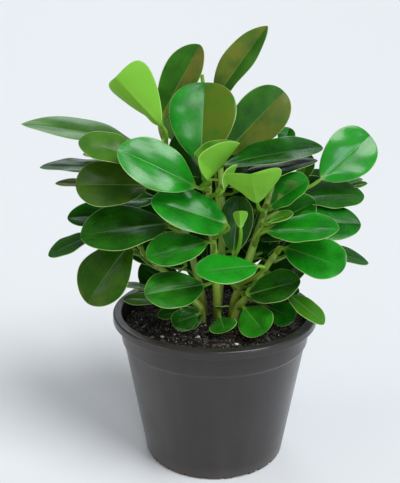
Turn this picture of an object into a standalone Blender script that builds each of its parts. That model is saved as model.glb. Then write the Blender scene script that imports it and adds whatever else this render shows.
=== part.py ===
"""Potted baby rubber plant (Peperomia obtusifolia) in a round plastic nursery pot.

Metres, +Z up.  The origin is the centre of the pot's underside, on the flat middle foot that it
stands on.  The pot, the potting mix, each rooted stem and each leaf with its stalk are separate
solids.  Leaves are placed from the crown, the point on the pot's axis level with the top of the
rim, so the whole plant follows the pot when its height changes.
"""

import math
from typing import NamedTuple

import bmesh
import bpy
import numpy as np
from mathutils import Matrix

MM = 0.001

# ---- Driving dimensions (millimetres and degrees) -------------------------------------------

RIM_DIAMETER = 150.0          # outside of the rolled lip
POT_HEIGHT = 112.0            # floor to the top of the lip
BASE_DIAMETER = 105.0         # outside of the wall where it meets the foot
WALL = 1.5                    # pot wall
FLOOR = 1.8                   # pot floor
LIP_WIDTH = 6.4               # flat top of the lip, inside edge to outside edge
LIP_EDGE = 0.6                # rounding on its inner edge
LIP_DROP = 6.2                # skirt that hangs from the lip's outer edge
COLLAR_HEIGHT = 21.0          # lip top down to the stacking step
COLLAR_DRAFT = 1.2            # how much the collar narrows on its way down
STEP_WIDTH = 1.6              # stacking step under the collar
CORNER_RADIUS = 1.4           # rounding between wall and foot
LIP_ROUND = 1.7               # rounding on the outer edge of the lip

FOOT_DEPTH = 2.4              # how far the floor is raised between the feet
FOOT_RING_WIDTH = 6.5         # outer ring that the pot stands on
FOOT_DISC_RADIUS = 15.0       # middle disc that the pot stands on
FOOT_SLOPE = 2.5              # run of the slope from a foot up to the raised floor

NOTCH_COUNT = 24              # small drainage notches round the foot ring
NOTCH_WIDTH = 3.6
NOTCH_HEIGHT = 2.0
WIDE_NOTCH_EVERY = 6          # every sixth notch is a wide, shallow one
WIDE_NOTCH_START = 1
WIDE_NOTCH_WIDTH = 13.0
DRAIN_COUNT = 8               # drain holes through the raised floor
DRAIN_DIAMETER = 9.0

TURN_STEPS = 60               # facets round the pot and the potting mix

SOIL_DROP = 11.0              # rim top down to the potting mix at the wall
SOIL_MOUND = 3.0              # extra height of the mix in the middle
SOIL_RIPPLE = 0.5             # gentle unevenness of its surface
SOIL_RINGS = 7

GAP = 0.3                     # clearance between pieces that touch

STEM_CLEARANCE = 0.7          # stem foot above the highest part of the mix round it

STEM_FOOT_RADIUS = 3.0
STEM_TOP_RADIUS = 1.9
STEM_SIDES = 8
STEM_RING_PITCH = 9.0         # spacing of the rings along a stem
STEM_RISE = 7.0               # straight stretch of stem above the mix

STALK_RADIUS = 1.25           # leaf stalk where it meets the blade
STALK_FLARE = 0.35            # added at the stem end
STALK_GROOVE = 0.4            # depth of the groove along its upper side, as a share of its radius
STALK_RINGS = 4
STALK_RING_PITCH = 8.0        # spacing of the rings along a long stalk
STALK_LEAN = 0.7              # how far a stalk leans along its stem as it sets off
BLADE_THICKNESS = 1.5         # at the midrib, by the stalk
BLADE_TIP_THICKNESS = 0.8     # at the midrib, near the tip
BLADE_STATIONS = (0.07, 0.19, 0.34, 0.50, 0.66, 0.81, 0.93)


# ---- Stems ----------------------------------------------------------------------------------

class Stem(NamedTuple):
    """A rooted stem: where it leaves the mix, then points from the crown (x, y, z)."""

    foot: tuple
    way: tuple


STEMS = {
    "stem_centre": Stem((2, -4), ((0, -7, 40), (-4, -9, 80), (-5, -7, 106))),
    "stem_right": Stem((13, -1), ((22, -3, 32), (32, -4, 66), (40, 2, 92))),
    "stem_right_low": Stem((14, -11), ((24, -9, 14), (36, -8, 34), (46, -9, 50))),
    "stem_left_low": Stem((-9, -8), ((-19, -10, 14), (-36, -10, 32), (-52, -8, 46))),
    "stem_left": Stem((-8, 4), ((-16, 5, 36), (-28, 5, 80), (-36, 6, 124))),
    "stem_back": Stem((3, 10), ((5, 18, 44), (4, 22, 96), (0, 22, 138))),
    "stem_back_right": Stem((14, 10), ((26, 22, 30), (38, 34, 64))),
}


# ---- Leaves ---------------------------------------------------------------------------------

# Outline of a blade: how its width rises from the stalk and falls to the tip.
ROUND = (0.75, 0.48)
OVAL = (0.82, 0.60)
POINTED = (0.88, 0.80)
BLUNT = (0.55, 0.55)
SHOVEL = (1.00, 0.24)
EGG = (0.48, 0.72)

GREEN = "leaf_mature"
DARK = "leaf_dark"
OLIVE = "leaf_olive"
YOUNG = "leaf_young"


class Leaf(NamedTuple):
    """One leaf with its stalk."""

    stem: str             # stem that it grows from
    at: float             # how far up that stem, 0 to 1
    base: tuple           # where the blade meets its stalk, from the crown
    heading: float        # way that the blade points, seen from above, from +X
    pitch: float          # and its rise
    length: float
    width: float
    face: tuple           # rough direction that the upper side looks in
    droop: float          # bend from the stalk to the tip
    cup: float            # rise of the edges above the midrib
    outline: tuple
    finish: str

LEAVES = {
    # Crown of the plant
    "leaf_top_right": Leaf(
        "stem_back", 0.96, (-2, 25, 148), 19, 52, 66, 28, (-0.5, -0.8, 0.3), 4, 26, POINTED, OLIVE),
    "leaf_top_middle": Leaf(
        "stem_left", 0.95, (-39, 24, 137), 18, 60, 58, 31, (-0.35, -0.9, 0.2), 4, 22, OVAL, OLIVE),
    "leaf_young_trumpet": Leaf(
        "stem_left", 0.97, (-36, -5, 135), 184, 47, 46, 42, (0.15, 0.9, 0.4), 4, 36, SHOVEL, YOUNG),
    "leaf_centre_upright": Leaf(
        "stem_centre", 0.97, (-10, -10, 112), 85, 63, 57, 48, (-0.1, -1, 0.4), 6, 13, ROUND, GREEN),
    "leaf_upper_right": Leaf(
        "stem_back", 0.80, (6, 17, 112), 17, 44, 62, 37, (0.1, -0.95, 0.3), 8, 12, ROUND, OLIVE),
    "leaf_front_glossy": Leaf(
        "stem_centre", 0.88, (-13, -25, 98), 186, 27, 58, 36, (-0.1, -0.75, 0.7), 14, 8, OVAL, GREEN),
    "leaf_young_cup": Leaf(
        "stem_centre", 0.92, (-8, -28, 101), 12, 47, 36, 44, (-0.55, 0.0, 0.8), 0, 52, EGG, YOUNG),
    "leaf_young_rolled": Leaf(
        "stem_centre", 0.84, (5, -27, 96), 30, 56, 20, 12, (-0.2, 0.5, 0.9), 0, 42, POINTED, YOUNG),
    # Right side
    "leaf_right_shelf": Leaf(
        "stem_centre", 0.98, (5, -8, 109), 8, 9, 71, 39, (0, -0.24, 1), 10, 10, OVAL, DARK),
    "leaf_right_under": Leaf(
        "stem_centre", 0.72, (3, -9, 94), 4, 15, 70, 32, (0, -0.12, 1), 6, 8, OVAL, DARK),
    "leaf_right_far": Leaf(
        "stem_right", 0.92, (74, 3, 97), 28, 34, 50, 37, (0.2, -0.85, 0.4), 8, 8, ROUND, GREEN),
    "leaf_right_bud": Leaf(
        "stem_right", 1.0, (62, 13, 94), 10, 75, 20, 16, (-0.3, -0.9, 0.2), 0, 30, OVAL, YOUNG),
    "leaf_young_fan": Leaf(
        "stem_right", 0.80, (28, -33, 89), 246, 60, 26, 40, (0.1, 0.9, 0.4), 0, 18, SHOVEL, YOUNG),
    "leaf_right_curled": Leaf(
        "stem_right", 0.86, (38, -16, 82), -24, 38, 34, 26, (-0.4, -0.6, 0.7), 20, 18, ROUND, GREEN),
    "leaf_right_upper": Leaf(
        "stem_right", 0.85, (58, 5, 82.5), 10, 1, 50, 32, (0, -0.45, 0.9), 10, 6, OVAL, DARK),
    "leaf_right_back": Leaf(
        "stem_right", 0.78, (76, 24, 86), 42, 0, 48, 22, (0.1, -0.05, 1), 14, 6, OVAL, OLIVE),
    "leaf_right_middle": Leaf(
        "stem_right", 0.70, (52, -10, 68), 0, 0, 50, 33, (0, -0.55, 0.85), 12, 6, OVAL, GREEN),
    "leaf_right_front": Leaf(
        "stem_right", 0.60, (35, -25, 67), -18, 8, 50, 30, (0, -0.45, 0.9), 12, 6, OVAL, GREEN),
    "leaf_right_lower": Leaf(
        "stem_right_low", 0.97, (48, -21, 54), -30, -9, 45, 34, (0, -0.6, 0.8), 12, 6, ROUND, GREEN),
    "leaf_right_low_back": Leaf(
        "stem_right_low", 0.85, (69, 1, 47), 8, -17, 46, 22, (0, -0.3, 1), 10, 6, OVAL, DARK),
    # Front, middle height
    "leaf_centre_inner": Leaf(
        "stem_right", 0.24, (13, -11, 46), 70, 76, 41, 25, (0, -1, 0.2), 8, 18, ROUND, DARK),
    "leaf_front_bud": Leaf(
        "stem_centre", 0.36, (17, -39, 73), 100, 72, 12, 14, (0, 0.9, 0.3), 0, 45, SHOVEL, YOUNG),
    "leaf_below_glossy": Leaf(
        "stem_centre", 0.58, (8, -23, 71), 190, 20, 55, 36, (0, -0.6, 0.8), 10, 8, BLUNT, GREEN),
    "leaf_front_middle": Leaf(
        "stem_right", 0.28, (29, -40, 47), 207, 3, 46, 30, (0.1, -0.35, 0.9), 8, 4, OVAL, GREEN),
    "leaf_front_left": Leaf(
        "stem_centre", 0.30, (-7, -34, 31), 207, 0, 44, 31, (0, -0.6, 0.8), 8, 4, OVAL, GREEN),
    "leaf_front_right_dark": Leaf(
        "stem_right_low", 0.55, (23, -25, 20), -17, 22, 40, 27, (0, -0.6, 0.8), 8, 6, OVAL, DARK),
    # Left side
    "leaf_left_big": Leaf(
        "stem_left", 0.62, (-32, -15, 69), 194, -5, 62, 42, (-0.1, -0.55, 0.85), 14, 8, OVAL, DARK),
    "leaf_left_inner": Leaf(
        "stem_centre", 0.46, (-5, -28, 60), 201, -8, 44, 31, (-0.1, -0.5, 0.85), 10, 6, OVAL, GREEN),
    "leaf_left_drooping": Leaf(
        "stem_left_low", 0.90, (-60, -15, 54), 206, -50, 51, 41, (-0.2, -0.7, 0.6), 10, 8, OVAL, GREEN),
    "leaf_left_behind": Leaf(
        "stem_left_low", 0.78, (-74, 7, 47), 191, -48, 40, 24, (-0.6, -0.3, 0.6), 10, 6, OVAL, DARK),
    "leaf_left_small": Leaf(
        "stem_left_low", 1.0, (-86, 2, 56), 189, -23, 38, 19, (0, -0.4, 0.9), 10, 8, OVAL, DARK),
    "leaf_left_middle": Leaf(
        "stem_left", 0.50, (-64, 14, 66), 187, 0, 44, 28, (0, -0.4, 0.9), 10, 8, OVAL, DARK),
    "leaf_left_hidden": Leaf(
        "stem_left", 0.68, (-42, 10, 81), 188, -6, 42, 28, (0, -0.4, 0.9), 10, 8, OVAL, DARK),
    "leaf_left_olive": Leaf(
        "stem_left", 0.80, (-47, -6, 94), 193, 3, 50, 36, (-0.2, -0.75, 0.6), 10, 8, ROUND, OLIVE),
    "leaf_left_narrow": Leaf(
        "stem_left", 0.76, (-68, 19, 100), 179, 1, 60, 25, (0, -0.2, 1), 8, 8, OVAL, OLIVE),
    "leaf_left_top": Leaf(
        "stem_left", 0.90, (-58, 14, 121), 180, 9, 81, 38, (0, -0.24, 1), 8, 8, POINTED, OLIVE),
    "leaf_left_striped": Leaf(
        "stem_left", 0.88, (-49, -12, 113), 182, 17, 46, 29, (-0.1, -0.5, 0.85), 14, 8, OVAL, OLIVE),
    # Low leaves over the rim and the mix
    "leaf_rim_right": Leaf(
        "stem_right_low", 0.70, (51, -22, 20), -38, -26, 34, 19, (0.1, -0.3, 1), 16, 6, OVAL, YOUNG),
    "leaf_low_round": Leaf(
        "stem_right_low", 0.22, (21, -24, 10), -60, -18, 28, 26, (0, -0.9, 0.5), 10, 4, ROUND, GREEN),
    "leaf_low_right": Leaf(
        "stem_right_low", 0.35, (38, -13, 6), -35, -8, 23, 19, (0, -0.8, 0.6), 10, 4, ROUND, GREEN),
    "leaf_low_front": Leaf(
        "stem_centre", 0.10, (4, -28, 4), 282, -10, 18, 20, (0, -0.8, 0.5), 10, 4, ROUND, GREEN),
    "leaf_low_left": Leaf(
        "stem_left_low", 0.14, (-12, -20, 3), 217, -6, 22, 17, (0, -0.8, 0.6), 8, 4, ROUND, GREEN),
    "leaf_rim_left": Leaf(
        "stem_left_low", 0.40, (-38, 8, 10), 150, -3, 42, 13, (0, -0.1, 1), 6, 4, POINTED, OLIVE),
    "leaf_rim_left_low": Leaf(
        "stem_left_low", 0.45, (-37, -5, 8), 172, -2, 32, 15, (0, -0.4, 1), 6, 4, POINTED, OLIVE),
    # Far side
    "leaf_back_low": Leaf(
        "stem_back", 0.30, (8, 34, 42), 80, 5, 56, 38, (0, 0.1, 1), 16, 8, OVAL, GREEN),
    "leaf_back_left_low": Leaf(
        "stem_back", 0.42, (-16, 32, 56), 128, 8, 54, 34, (0, 0, 1), 14, 8, OVAL, GREEN),
    "leaf_back_middle": Leaf(
        "stem_back", 0.62, (10, 36, 84), 68, 24, 56, 38, (0, 0, 1), 14, 8, OVAL, GREEN),
    "leaf_back_left_high": Leaf(
        "stem_back", 0.76, (-12, 36, 104), 118, 30, 56, 36, (0, 0, 1), 12, 8, OVAL, OLIVE),
    "leaf_back_right_high": Leaf(
        "stem_back_right", 0.97, (48, 44, 66), 52, 20, 54, 36, (0, 0, 1), 12, 8, OVAL, GREEN),
    "leaf_back_right_low": Leaf(
        "stem_back_right", 0.60, (44, 30, 36), 20, -4, 50, 34, (0, 0, 1), 14, 8, OVAL, GREEN),
    "leaf_back_rim": Leaf(
        "stem_back_right", 0.40, (20, 36, 20), 90, -4, 46, 30, (0, 0, 1), 10, 6, OVAL, DARK),
}


# ---- Finishes -------------------------------------------------------------------------------

FINISHES = {
    # name: colour (linear RGB), roughness
    "pot_plastic": ((0.030, 0.029, 0.034), 0.42),
    "potting_mix": ((0.022, 0.015, 0.011), 0.95),
    "stem_green": ((0.190, 0.290, 0.065), 0.45),
    "leaf_mature": ((0.020, 0.150, 0.018), 0.22),
    "leaf_dark": ((0.012, 0.085, 0.014), 0.25),
    "leaf_olive": ((0.085, 0.150, 0.030), 0.32),
    "leaf_young": ((0.180, 0.400, 0.045), 0.30),
}


def finish(name):
    """The finish with this name, made once as a Principled material."""
    material = bpy.data.materials.get(name)
    if material is None:
        colour, roughness = FINISHES[name]
        material = bpy.data.materials.new(name)
        material.use_nodes = True
        shader = material.node_tree.nodes["Principled BSDF"]
        shader.inputs["Base Color"].default_value = (*colour, 1)
        shader.inputs["Roughness"].default_value = roughness
        shader.inputs["Metallic"].default_value = 0.0
        material.diffuse_color = (*colour, 1)
    return material


# ---- Small geometry helpers -----------------------------------------------------------------

def vec(*values):
    return np.array(values, float)


def unit(v):
    return v / np.linalg.norm(v)


def direction(heading, pitch):
    """Unit vector from a heading round +Z and a rise, in degrees."""
    h = math.radians(heading)
    p = math.radians(pitch)
    return vec(math.cos(p) * math.cos(h), math.cos(p) * math.sin(h), math.sin(p))


def square_to(v, axis):
    """The part of v square to the axis, as a unit vector."""
    return unit(v - np.dot(v, axis) * axis)


def smooth_way(points, steps):
    """Points and unit tangents along a Catmull-Rom curve through the given points."""
    points = [vec(*p) for p in points]
    ends = [2 * points[0] - points[1], *points, 2 * points[-1] - points[-2]]
    spans = len(points) - 1
    places = []
    tangents = []
    for t in np.linspace(0, spans, steps):
        i = min(int(t), spans - 1)
        u = t - i
        a, b, c, d = ends[i:i + 4]
        bend = 2 * a - 5 * b + 4 * c - d
        rise = 3 * b - a - 3 * c + d
        places.append(0.5 * (2 * b + (c - a) * u + bend * u ** 2 + rise * u ** 3))
        tangents.append(unit((c - a) + 2 * bend * u + 3 * rise * u ** 2))
    return np.array(places), np.array(tangents)


def eased_way(start, start_way, end, end_way, steps):
    """Points and unit tangents along one Bezier span between two ends and their directions."""
    reach = 0.36 * np.linalg.norm(end - start)
    a, b, c, d = start, start + reach * start_way, end - reach * end_way, end
    u = np.linspace(0, 1, steps)[:, None]
    places = (1 - u) ** 3 * a + 3 * (1 - u) ** 2 * u * b + 3 * (1 - u) * u ** 2 * c + u ** 3 * d
    slopes = (1 - u) ** 2 * (b - a) + 2 * (1 - u) * u * (c - b) + u ** 2 * (d - c)
    return places, np.array([unit(s) for s in slopes])


def carried(normal, tangents):
    """The normal carried along a curve with no twist, one for each tangent."""
    normals = [square_to(normal, tangents[0])]
    for tangent in tangents[1:]:
        normals.append(square_to(normals[-1], tangent))
    return np.array(normals)


def named_object(name, mesh, finish_name):
    """An object from a bmesh, shaded smooth apart from its sharp corners."""
    data = bpy.data.meshes.new(name)
    mesh.to_mesh(data)
    mesh.free()
    data.shade_smooth()
    data.set_sharp_from_angle(angle=math.radians(50))
    piece = bpy.data.objects.new(name, data)
    piece.data.materials.append(finish(finish_name))
    bpy.context.scene.collection.objects.link(piece)
    return piece


def solid_from_rings(name, rings, finish_name, tip=None):
    """One closed solid lofted through rings of equal count (millimetres), capped at both ends.

    With a tip, the last ring closes on that point instead of on a flat cap.
    """
    mesh = bmesh.new()
    loops = [[mesh.verts.new(p * MM) for p in ring] for ring in rings]
    count = len(loops[0])
    for near, far in zip(loops, loops[1:]):
        for i in range(count):
            j = (i + 1) % count
            mesh.faces.new((near[i], near[j], far[j], far[i]))
    mesh.faces.new(loops[0][::-1])
    if tip is None:
        mesh.faces.new(loops[-1])
    else:
        point = mesh.verts.new(tip * MM)
        for i in range(count):
            mesh.faces.new((loops[-1][i], loops[-1][(i + 1) % count], point))
    bmesh.ops.recalc_face_normals(mesh, faces=mesh.faces)
    return named_object(name, mesh, finish_name)


# ---- Pot ------------------------------------------------------------------------------------

RIM_RADIUS = RIM_DIAMETER / 2
BASE_RADIUS = BASE_DIAMETER / 2
MOUTH_RADIUS = RIM_RADIUS - LIP_WIDTH
STEP_TOP = POT_HEIGHT - COLLAR_HEIGHT
STEP_BOTTOM = STEP_TOP - STEP_WIDTH
COLLAR_FOOT_RADIUS = MOUTH_RADIUS - COLLAR_DRAFT
WALL_TOP_RADIUS = COLLAR_FOOT_RADIUS - STEP_WIDTH
WALL_FOOT_RADIUS = BASE_RADIUS - WALL
INNER_FLOOR = FOOT_DEPTH + FLOOR
FOOT_OUTER_RADIUS = BASE_RADIUS - CORNER_RADIUS
FOOT_INNER_RADIUS = FOOT_OUTER_RADIUS - FOOT_RING_WIDTH


def wall_radius(z):
    """Radius of the inside of the tapered wall, below the stacking step."""
    share = (z - CORNER_RADIUS) / (STEP_BOTTOM - CORNER_RADIUS)
    return WALL_FOOT_RADIUS + share * (WALL_TOP_RADIUS - WALL_FOOT_RADIUS)


def collar_radius(z):
    """Radius of the inside of the collar, above the stacking step."""
    share = (z - STEP_TOP) / COLLAR_HEIGHT
    return COLLAR_FOOT_RADIUS + share * COLLAR_DRAFT


def quarter(centre_r, centre_z, radius, start, steps=3):
    """Points (radius, z) clockwise round a quarter circle of a section, from an angle in degrees."""
    angles = np.radians(np.linspace(start, start - 90, steps + 1))
    return [(centre_r + radius * math.cos(a), centre_z + radius * math.sin(a)) for a in angles]


def pot_section():
    """The pot's section (radius, z): along the floor, up the inside, over the lip and back down."""
    under_lip = POT_HEIGHT - WALL
    skirt_foot = POT_HEIGHT - LIP_DROP
    skirt_inside = RIM_RADIUS - WALL
    edge = WALL / 2
    return [
        (0, INNER_FLOOR),
        (wall_radius(INNER_FLOOR), INNER_FLOOR),
        (WALL_TOP_RADIUS, STEP_BOTTOM),
        (COLLAR_FOOT_RADIUS, STEP_TOP),
        *quarter(MOUTH_RADIUS + LIP_EDGE, POT_HEIGHT - LIP_EDGE, LIP_EDGE, 180, 2),
        *quarter(RIM_RADIUS - LIP_ROUND, POT_HEIGHT - LIP_ROUND, LIP_ROUND, 90),
        *quarter(RIM_RADIUS - edge, skirt_foot + edge, edge, 0, 2),
        (skirt_inside, skirt_foot + edge),
        (skirt_inside, under_lip),
        (collar_radius(under_lip) + WALL, under_lip),
        (COLLAR_FOOT_RADIUS + WALL, STEP_TOP),
        (WALL_TOP_RADIUS + WALL, STEP_BOTTOM),
        *quarter(FOOT_OUTER_RADIUS, CORNER_RADIUS, CORNER_RADIUS, 0),
        (FOOT_INNER_RADIUS, 0),
        (FOOT_INNER_RADIUS - FOOT_SLOPE, FOOT_DEPTH),
        (FOOT_DISC_RADIUS + FOOT_SLOPE, FOOT_DEPTH),
        (FOOT_DISC_RADIUS, 0),
        (0, 0),
    ]


def cutter(name, mesh):
    """A hidden object that only cuts others."""
    piece = named_object(name, mesh, "pot_plastic")
    piece.hide_render = True
    piece.display_type = "WIRE"
    return piece


def notch_cutter():
    """Radial channels through the foot ring, which let water out from under the pot."""
    mesh = bmesh.new()
    inside = FOOT_INNER_RADIUS - FOOT_SLOPE
    reach = BASE_RADIUS + CORNER_RADIUS - inside
    for i in range(NOTCH_COUNT):
        width = WIDE_NOTCH_WIDTH if i % WIDE_NOTCH_EVERY == WIDE_NOTCH_START else NOTCH_WIDTH
        made = bmesh.ops.create_cube(mesh, size=1)
        bmesh.ops.scale(mesh, verts=made["verts"],
                        vec=(reach * MM, width * MM, 2 * NOTCH_HEIGHT * MM))
        bmesh.ops.translate(mesh, verts=made["verts"], vec=((inside + reach / 2) * MM, 0, 0))
        turn = (i + 0.5) * 2 * math.pi / NOTCH_COUNT
        bmesh.ops.rotate(mesh, verts=made["verts"], cent=(0, 0, 0),
                         matrix=Matrix.Rotation(turn, 3, "Z"))
    return cutter("notch_cutter", mesh)


def drain_cutter():
    """Drain holes through the raised floor, halfway between the disc and the foot ring."""
    mesh = bmesh.new()
    ring = (FOOT_DISC_RADIUS + FOOT_INNER_RADIUS) / 2
    for i in range(DRAIN_COUNT):
        made = bmesh.ops.create_cone(mesh, cap_ends=True, segments=16,
                                     radius1=DRAIN_DIAMETER / 2 * MM, radius2=DRAIN_DIAMETER / 2 * MM,
                                     depth=4 * INNER_FLOOR * MM)
        turn = i * 2 * math.pi / DRAIN_COUNT
        bmesh.ops.translate(mesh, verts=made["verts"],
                            vec=(ring * MM * math.cos(turn), ring * MM * math.sin(turn), 0))
    return cutter("drain_cutter", mesh)


def make_pot():
    """The pot: its section turned round the axis, with notches and drain holes cut from it."""
    mesh = bmesh.new()
    corners = [mesh.verts.new((r * MM, 0, z * MM)) for r, z in pot_section()]
    for near, far in zip(corners, corners[1:]):
        mesh.edges.new((near, far))
    pot = named_object("pot", mesh, "pot_plastic")
    turned = pot.modifiers.new("turned", "SCREW")
    turned.steps = TURN_STEPS
    turned.render_steps = TURN_STEPS
    turned.use_merge_vertices = True
    turned.merge_threshold = 0.00001
    for name, tool in (("notches", notch_cutter()), ("drains", drain_cutter())):
        cut = pot.modifiers.new(name, "BOOLEAN")
        cut.object = tool
        cut.solver = "EXACT"
    return pot


# ---- Potting mix ----------------------------------------------------------------------------

SOIL_EDGE = POT_HEIGHT - SOIL_DROP
SOIL_RADIUS = collar_radius(SOIL_EDGE) - GAP


def soil_height(x, y):
    """Height of the surface of the potting mix: a low mound with a gentle ripple."""
    rest = 1 - (x * x + y * y) / SOIL_RADIUS ** 2
    ripple = math.sin(0.11 * x + 0.7) * math.cos(0.13 * y - 0.4)
    return SOIL_EDGE + rest * (SOIL_MOUND + SOIL_RIPPLE * ripple)


def make_soil():
    """The potting mix: fills the pot to just under the rim, clear of the wall all round."""
    turns = np.radians(np.arange(TURN_STEPS) * 360 / TURN_STEPS)
    bottom = INNER_FLOOR + GAP
    sides = [
        (wall_radius(bottom) - GAP, bottom),
        (WALL_TOP_RADIUS - GAP, STEP_BOTTOM + GAP),
        (COLLAR_FOOT_RADIUS - GAP, STEP_TOP + GAP),
    ]
    rings = [[vec(r * math.cos(a), r * math.sin(a), z) for a in turns] for r, z in sides]
    for share in np.linspace(1, 0, SOIL_RINGS, endpoint=False):
        ring = [SOIL_RADIUS * share * vec(math.cos(a), math.sin(a)) for a in turns]
        rings.append([vec(x, y, soil_height(x, y)) for x, y in ring])
    middle = vec(0, 0, soil_height(0, 0))
    return solid_from_rings("potting_mix", rings, "potting_mix", tip=middle)


# ---- Stems and leaves -----------------------------------------------------------------------

CROWN = vec(0, 0, POT_HEIGHT)
FINE_STEPS = 200


def stem_way(stem):
    """The stem's centre line, finely stepped: it rises straight out of the mix, then bends."""
    x, y = stem.foot
    round_foot = [soil_height(x + STEM_FOOT_RADIUS * math.cos(a), y + STEM_FOOT_RADIUS * math.sin(a))
                  for a in np.radians(np.arange(0, 360, 45))]
    z = max(round_foot) + STEM_CLEARANCE
    points = [vec(x, y, z), vec(x, y, z + STEM_RISE), *(CROWN + vec(*p) for p in stem.way)]
    places, tangents = smooth_way(points, 5 * FINE_STEPS)
    run = np.concatenate(([0], np.cumsum(np.linalg.norm(np.diff(places, axis=0), axis=1))))
    even = np.searchsorted(run, np.linspace(0, run[-1], FINE_STEPS) - 1e-9)
    return places[even], tangents[even]


def stem_radius(share):
    """Radius of a stem at a share of its length."""
    return STEM_FOOT_RADIUS + share * (STEM_TOP_RADIUS - STEM_FOOT_RADIUS)


def tube_ring(centre, tangent, normal, radius, sides, groove=0.0):
    """A ring of points square to the tangent, its third point pulled in by the groove."""
    side = np.cross(normal, tangent)
    ring = []
    for i in range(sides):
        turn = 2 * math.pi * i / sides
        reach = radius * (1 - groove) if i == sides // 4 else radius
        ring.append(centre + reach * (math.cos(turn) * side + math.sin(turn) * normal))
    return ring


def make_stem(name, stem):
    """A stem: a tapering tube along its centre line, rounded off at the top."""
    places, tangents = stem_way(stem)
    normals = carried(vec(1, 0, 0), tangents)
    length = np.linalg.norm(np.diff(places, axis=0), axis=1).sum()
    rings = []
    for share in np.linspace(0, 1, max(3, round(length / STEM_RING_PITCH))):
        i = round(share * (FINE_STEPS - 1))
        rings.append(tube_ring(places[i], tangents[i], normals[i], stem_radius(share), STEM_SIDES))
    crest = places[-1] + 0.6 * STEM_TOP_RADIUS * tangents[-1]
    rings.append(tube_ring(crest, tangents[-1], normals[-1], 0.6 * STEM_TOP_RADIUS, STEM_SIDES))
    return solid_from_rings(name, rings, "stem_green")


def width_share(outline, s):
    """Width of a blade at a share s of its length, as a share of its greatest width."""
    rise, fall = outline
    widest = rise / (rise + fall)
    return (s / widest) ** rise * ((1 - s) / (1 - widest)) ** fall


def blade_ring(centre, tangent, normal, half_width, thickness, cup):
    """Section of a blade: two sharp edges, and three points on each side between them."""
    side = np.cross(normal, tangent)
    ring = []
    for u, face in ((1, 0), (0.5, 1), (0, 1), (-0.5, 1), (-1, 0), (-0.5, -1), (0, -1), (0.5, -1)):
        across = half_width * u * math.cos(cup)
        rise = half_width * abs(u) ** 1.5 * math.sin(cup)
        depth = face * thickness / 2 * (1 - u * u)
        ring.append(centre + across * side + (rise + depth) * normal)
    return ring


def stalk_start(stem, at, target):
    """Where a stalk leaves its stem and the way that it sets off towards its blade."""
    places, tangents = stem_way(stem)
    i = round(at * (FINE_STEPS - 1))
    centre = places[i]
    up = tangents[i]
    out = square_to(target - centre, up)
    way = unit(out + STALK_LEAN * up)
    foot = (STALK_RADIUS + STALK_FLARE) * math.sqrt(max(0, 1 - np.dot(way, out) ** 2))
    return centre + (stem_radius(at) + GAP + foot) * out, way


def make_leaf(name, leaf):
    """A leaf: a grooved stalk from the stem, running on into the midrib of its blade."""
    ahead = direction(leaf.heading, leaf.pitch)
    up = square_to(vec(*leaf.face), ahead)
    base = CROWN + vec(*leaf.base)

    # Midrib: a curve that bends evenly away from the upper side
    shares = np.linspace(0, 1, FINE_STEPS)
    bends = np.radians(leaf.droop) * (0.5 - shares)
    midrib_ways = np.cos(bends)[:, None] * ahead + np.sin(bends)[:, None] * up
    steps = midrib_ways * leaf.length / (FINE_STEPS - 1)
    midrib = base + np.cumsum(steps, axis=0) - steps[0]

    # Stalk, from the stem to the blade, with the blade's upper side carried back along it
    start, start_way = stalk_start(STEMS[leaf.stem], leaf.at, base)
    reach = np.linalg.norm(base - start)
    count = max(STALK_RINGS, 1 + round(reach / STALK_RING_PITCH))
    places, ways = eased_way(start, start_way, base, midrib_ways[0], count)
    normals = carried(square_to(up, midrib_ways[0]), ways[::-1])[::-1]
    rings = []
    for i, share in enumerate(np.linspace(0, 1, count)):
        radius = STALK_RADIUS + STALK_FLARE * (1 - share) ** 2
        rings.append(tube_ring(places[i], ways[i], normals[i], radius, 8, STALK_GROOVE))

    # Blade
    for s in BLADE_STATIONS:
        i = round(s * (FINE_STEPS - 1))
        way = midrib_ways[i]
        thickness = BLADE_THICKNESS + s * (BLADE_TIP_THICKNESS - BLADE_THICKNESS)
        half_width = leaf.width / 2 * width_share(leaf.outline, s)
        cup = math.radians(leaf.cup) * min(1, s / 0.3)
        rings.append(blade_ring(midrib[i], way, square_to(up, way), half_width, thickness, cup))
    return solid_from_rings(name, rings, leaf.finish, tip=midrib[-1])


# ---- Assembly -------------------------------------------------------------------------------

def clear_scene():
    """Remove what the scene starts with."""
    for thing in list(bpy.data.objects):
        bpy.data.objects.remove(thing, do_unlink=True)


def main():
    clear_scene()
    make_pot()
    make_soil()
    for name, stem in STEMS.items():
        make_stem(name, stem)
    for name, leaf in LEAVES.items():
        make_leaf(name, leaf)


main()
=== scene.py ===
"""Looks of a potted baby rubber plant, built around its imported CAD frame.

Metres, +Z up, in the frame's own coordinates.  Every leaf and stem is a fine loft that takes its
line, width and cup from the CAD solid that it stands for.  The pot is a turned section and the
potting mix is a rough surface strewn with crumbs, bark and perlite, all made with Geometry Nodes.
"""

import logging
import math
from dataclasses import dataclass, field, replace
from enum import Enum

import bmesh
import bpy
import numpy as np
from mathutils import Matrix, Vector
from mathutils.bvhtree import BVHTree

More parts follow.
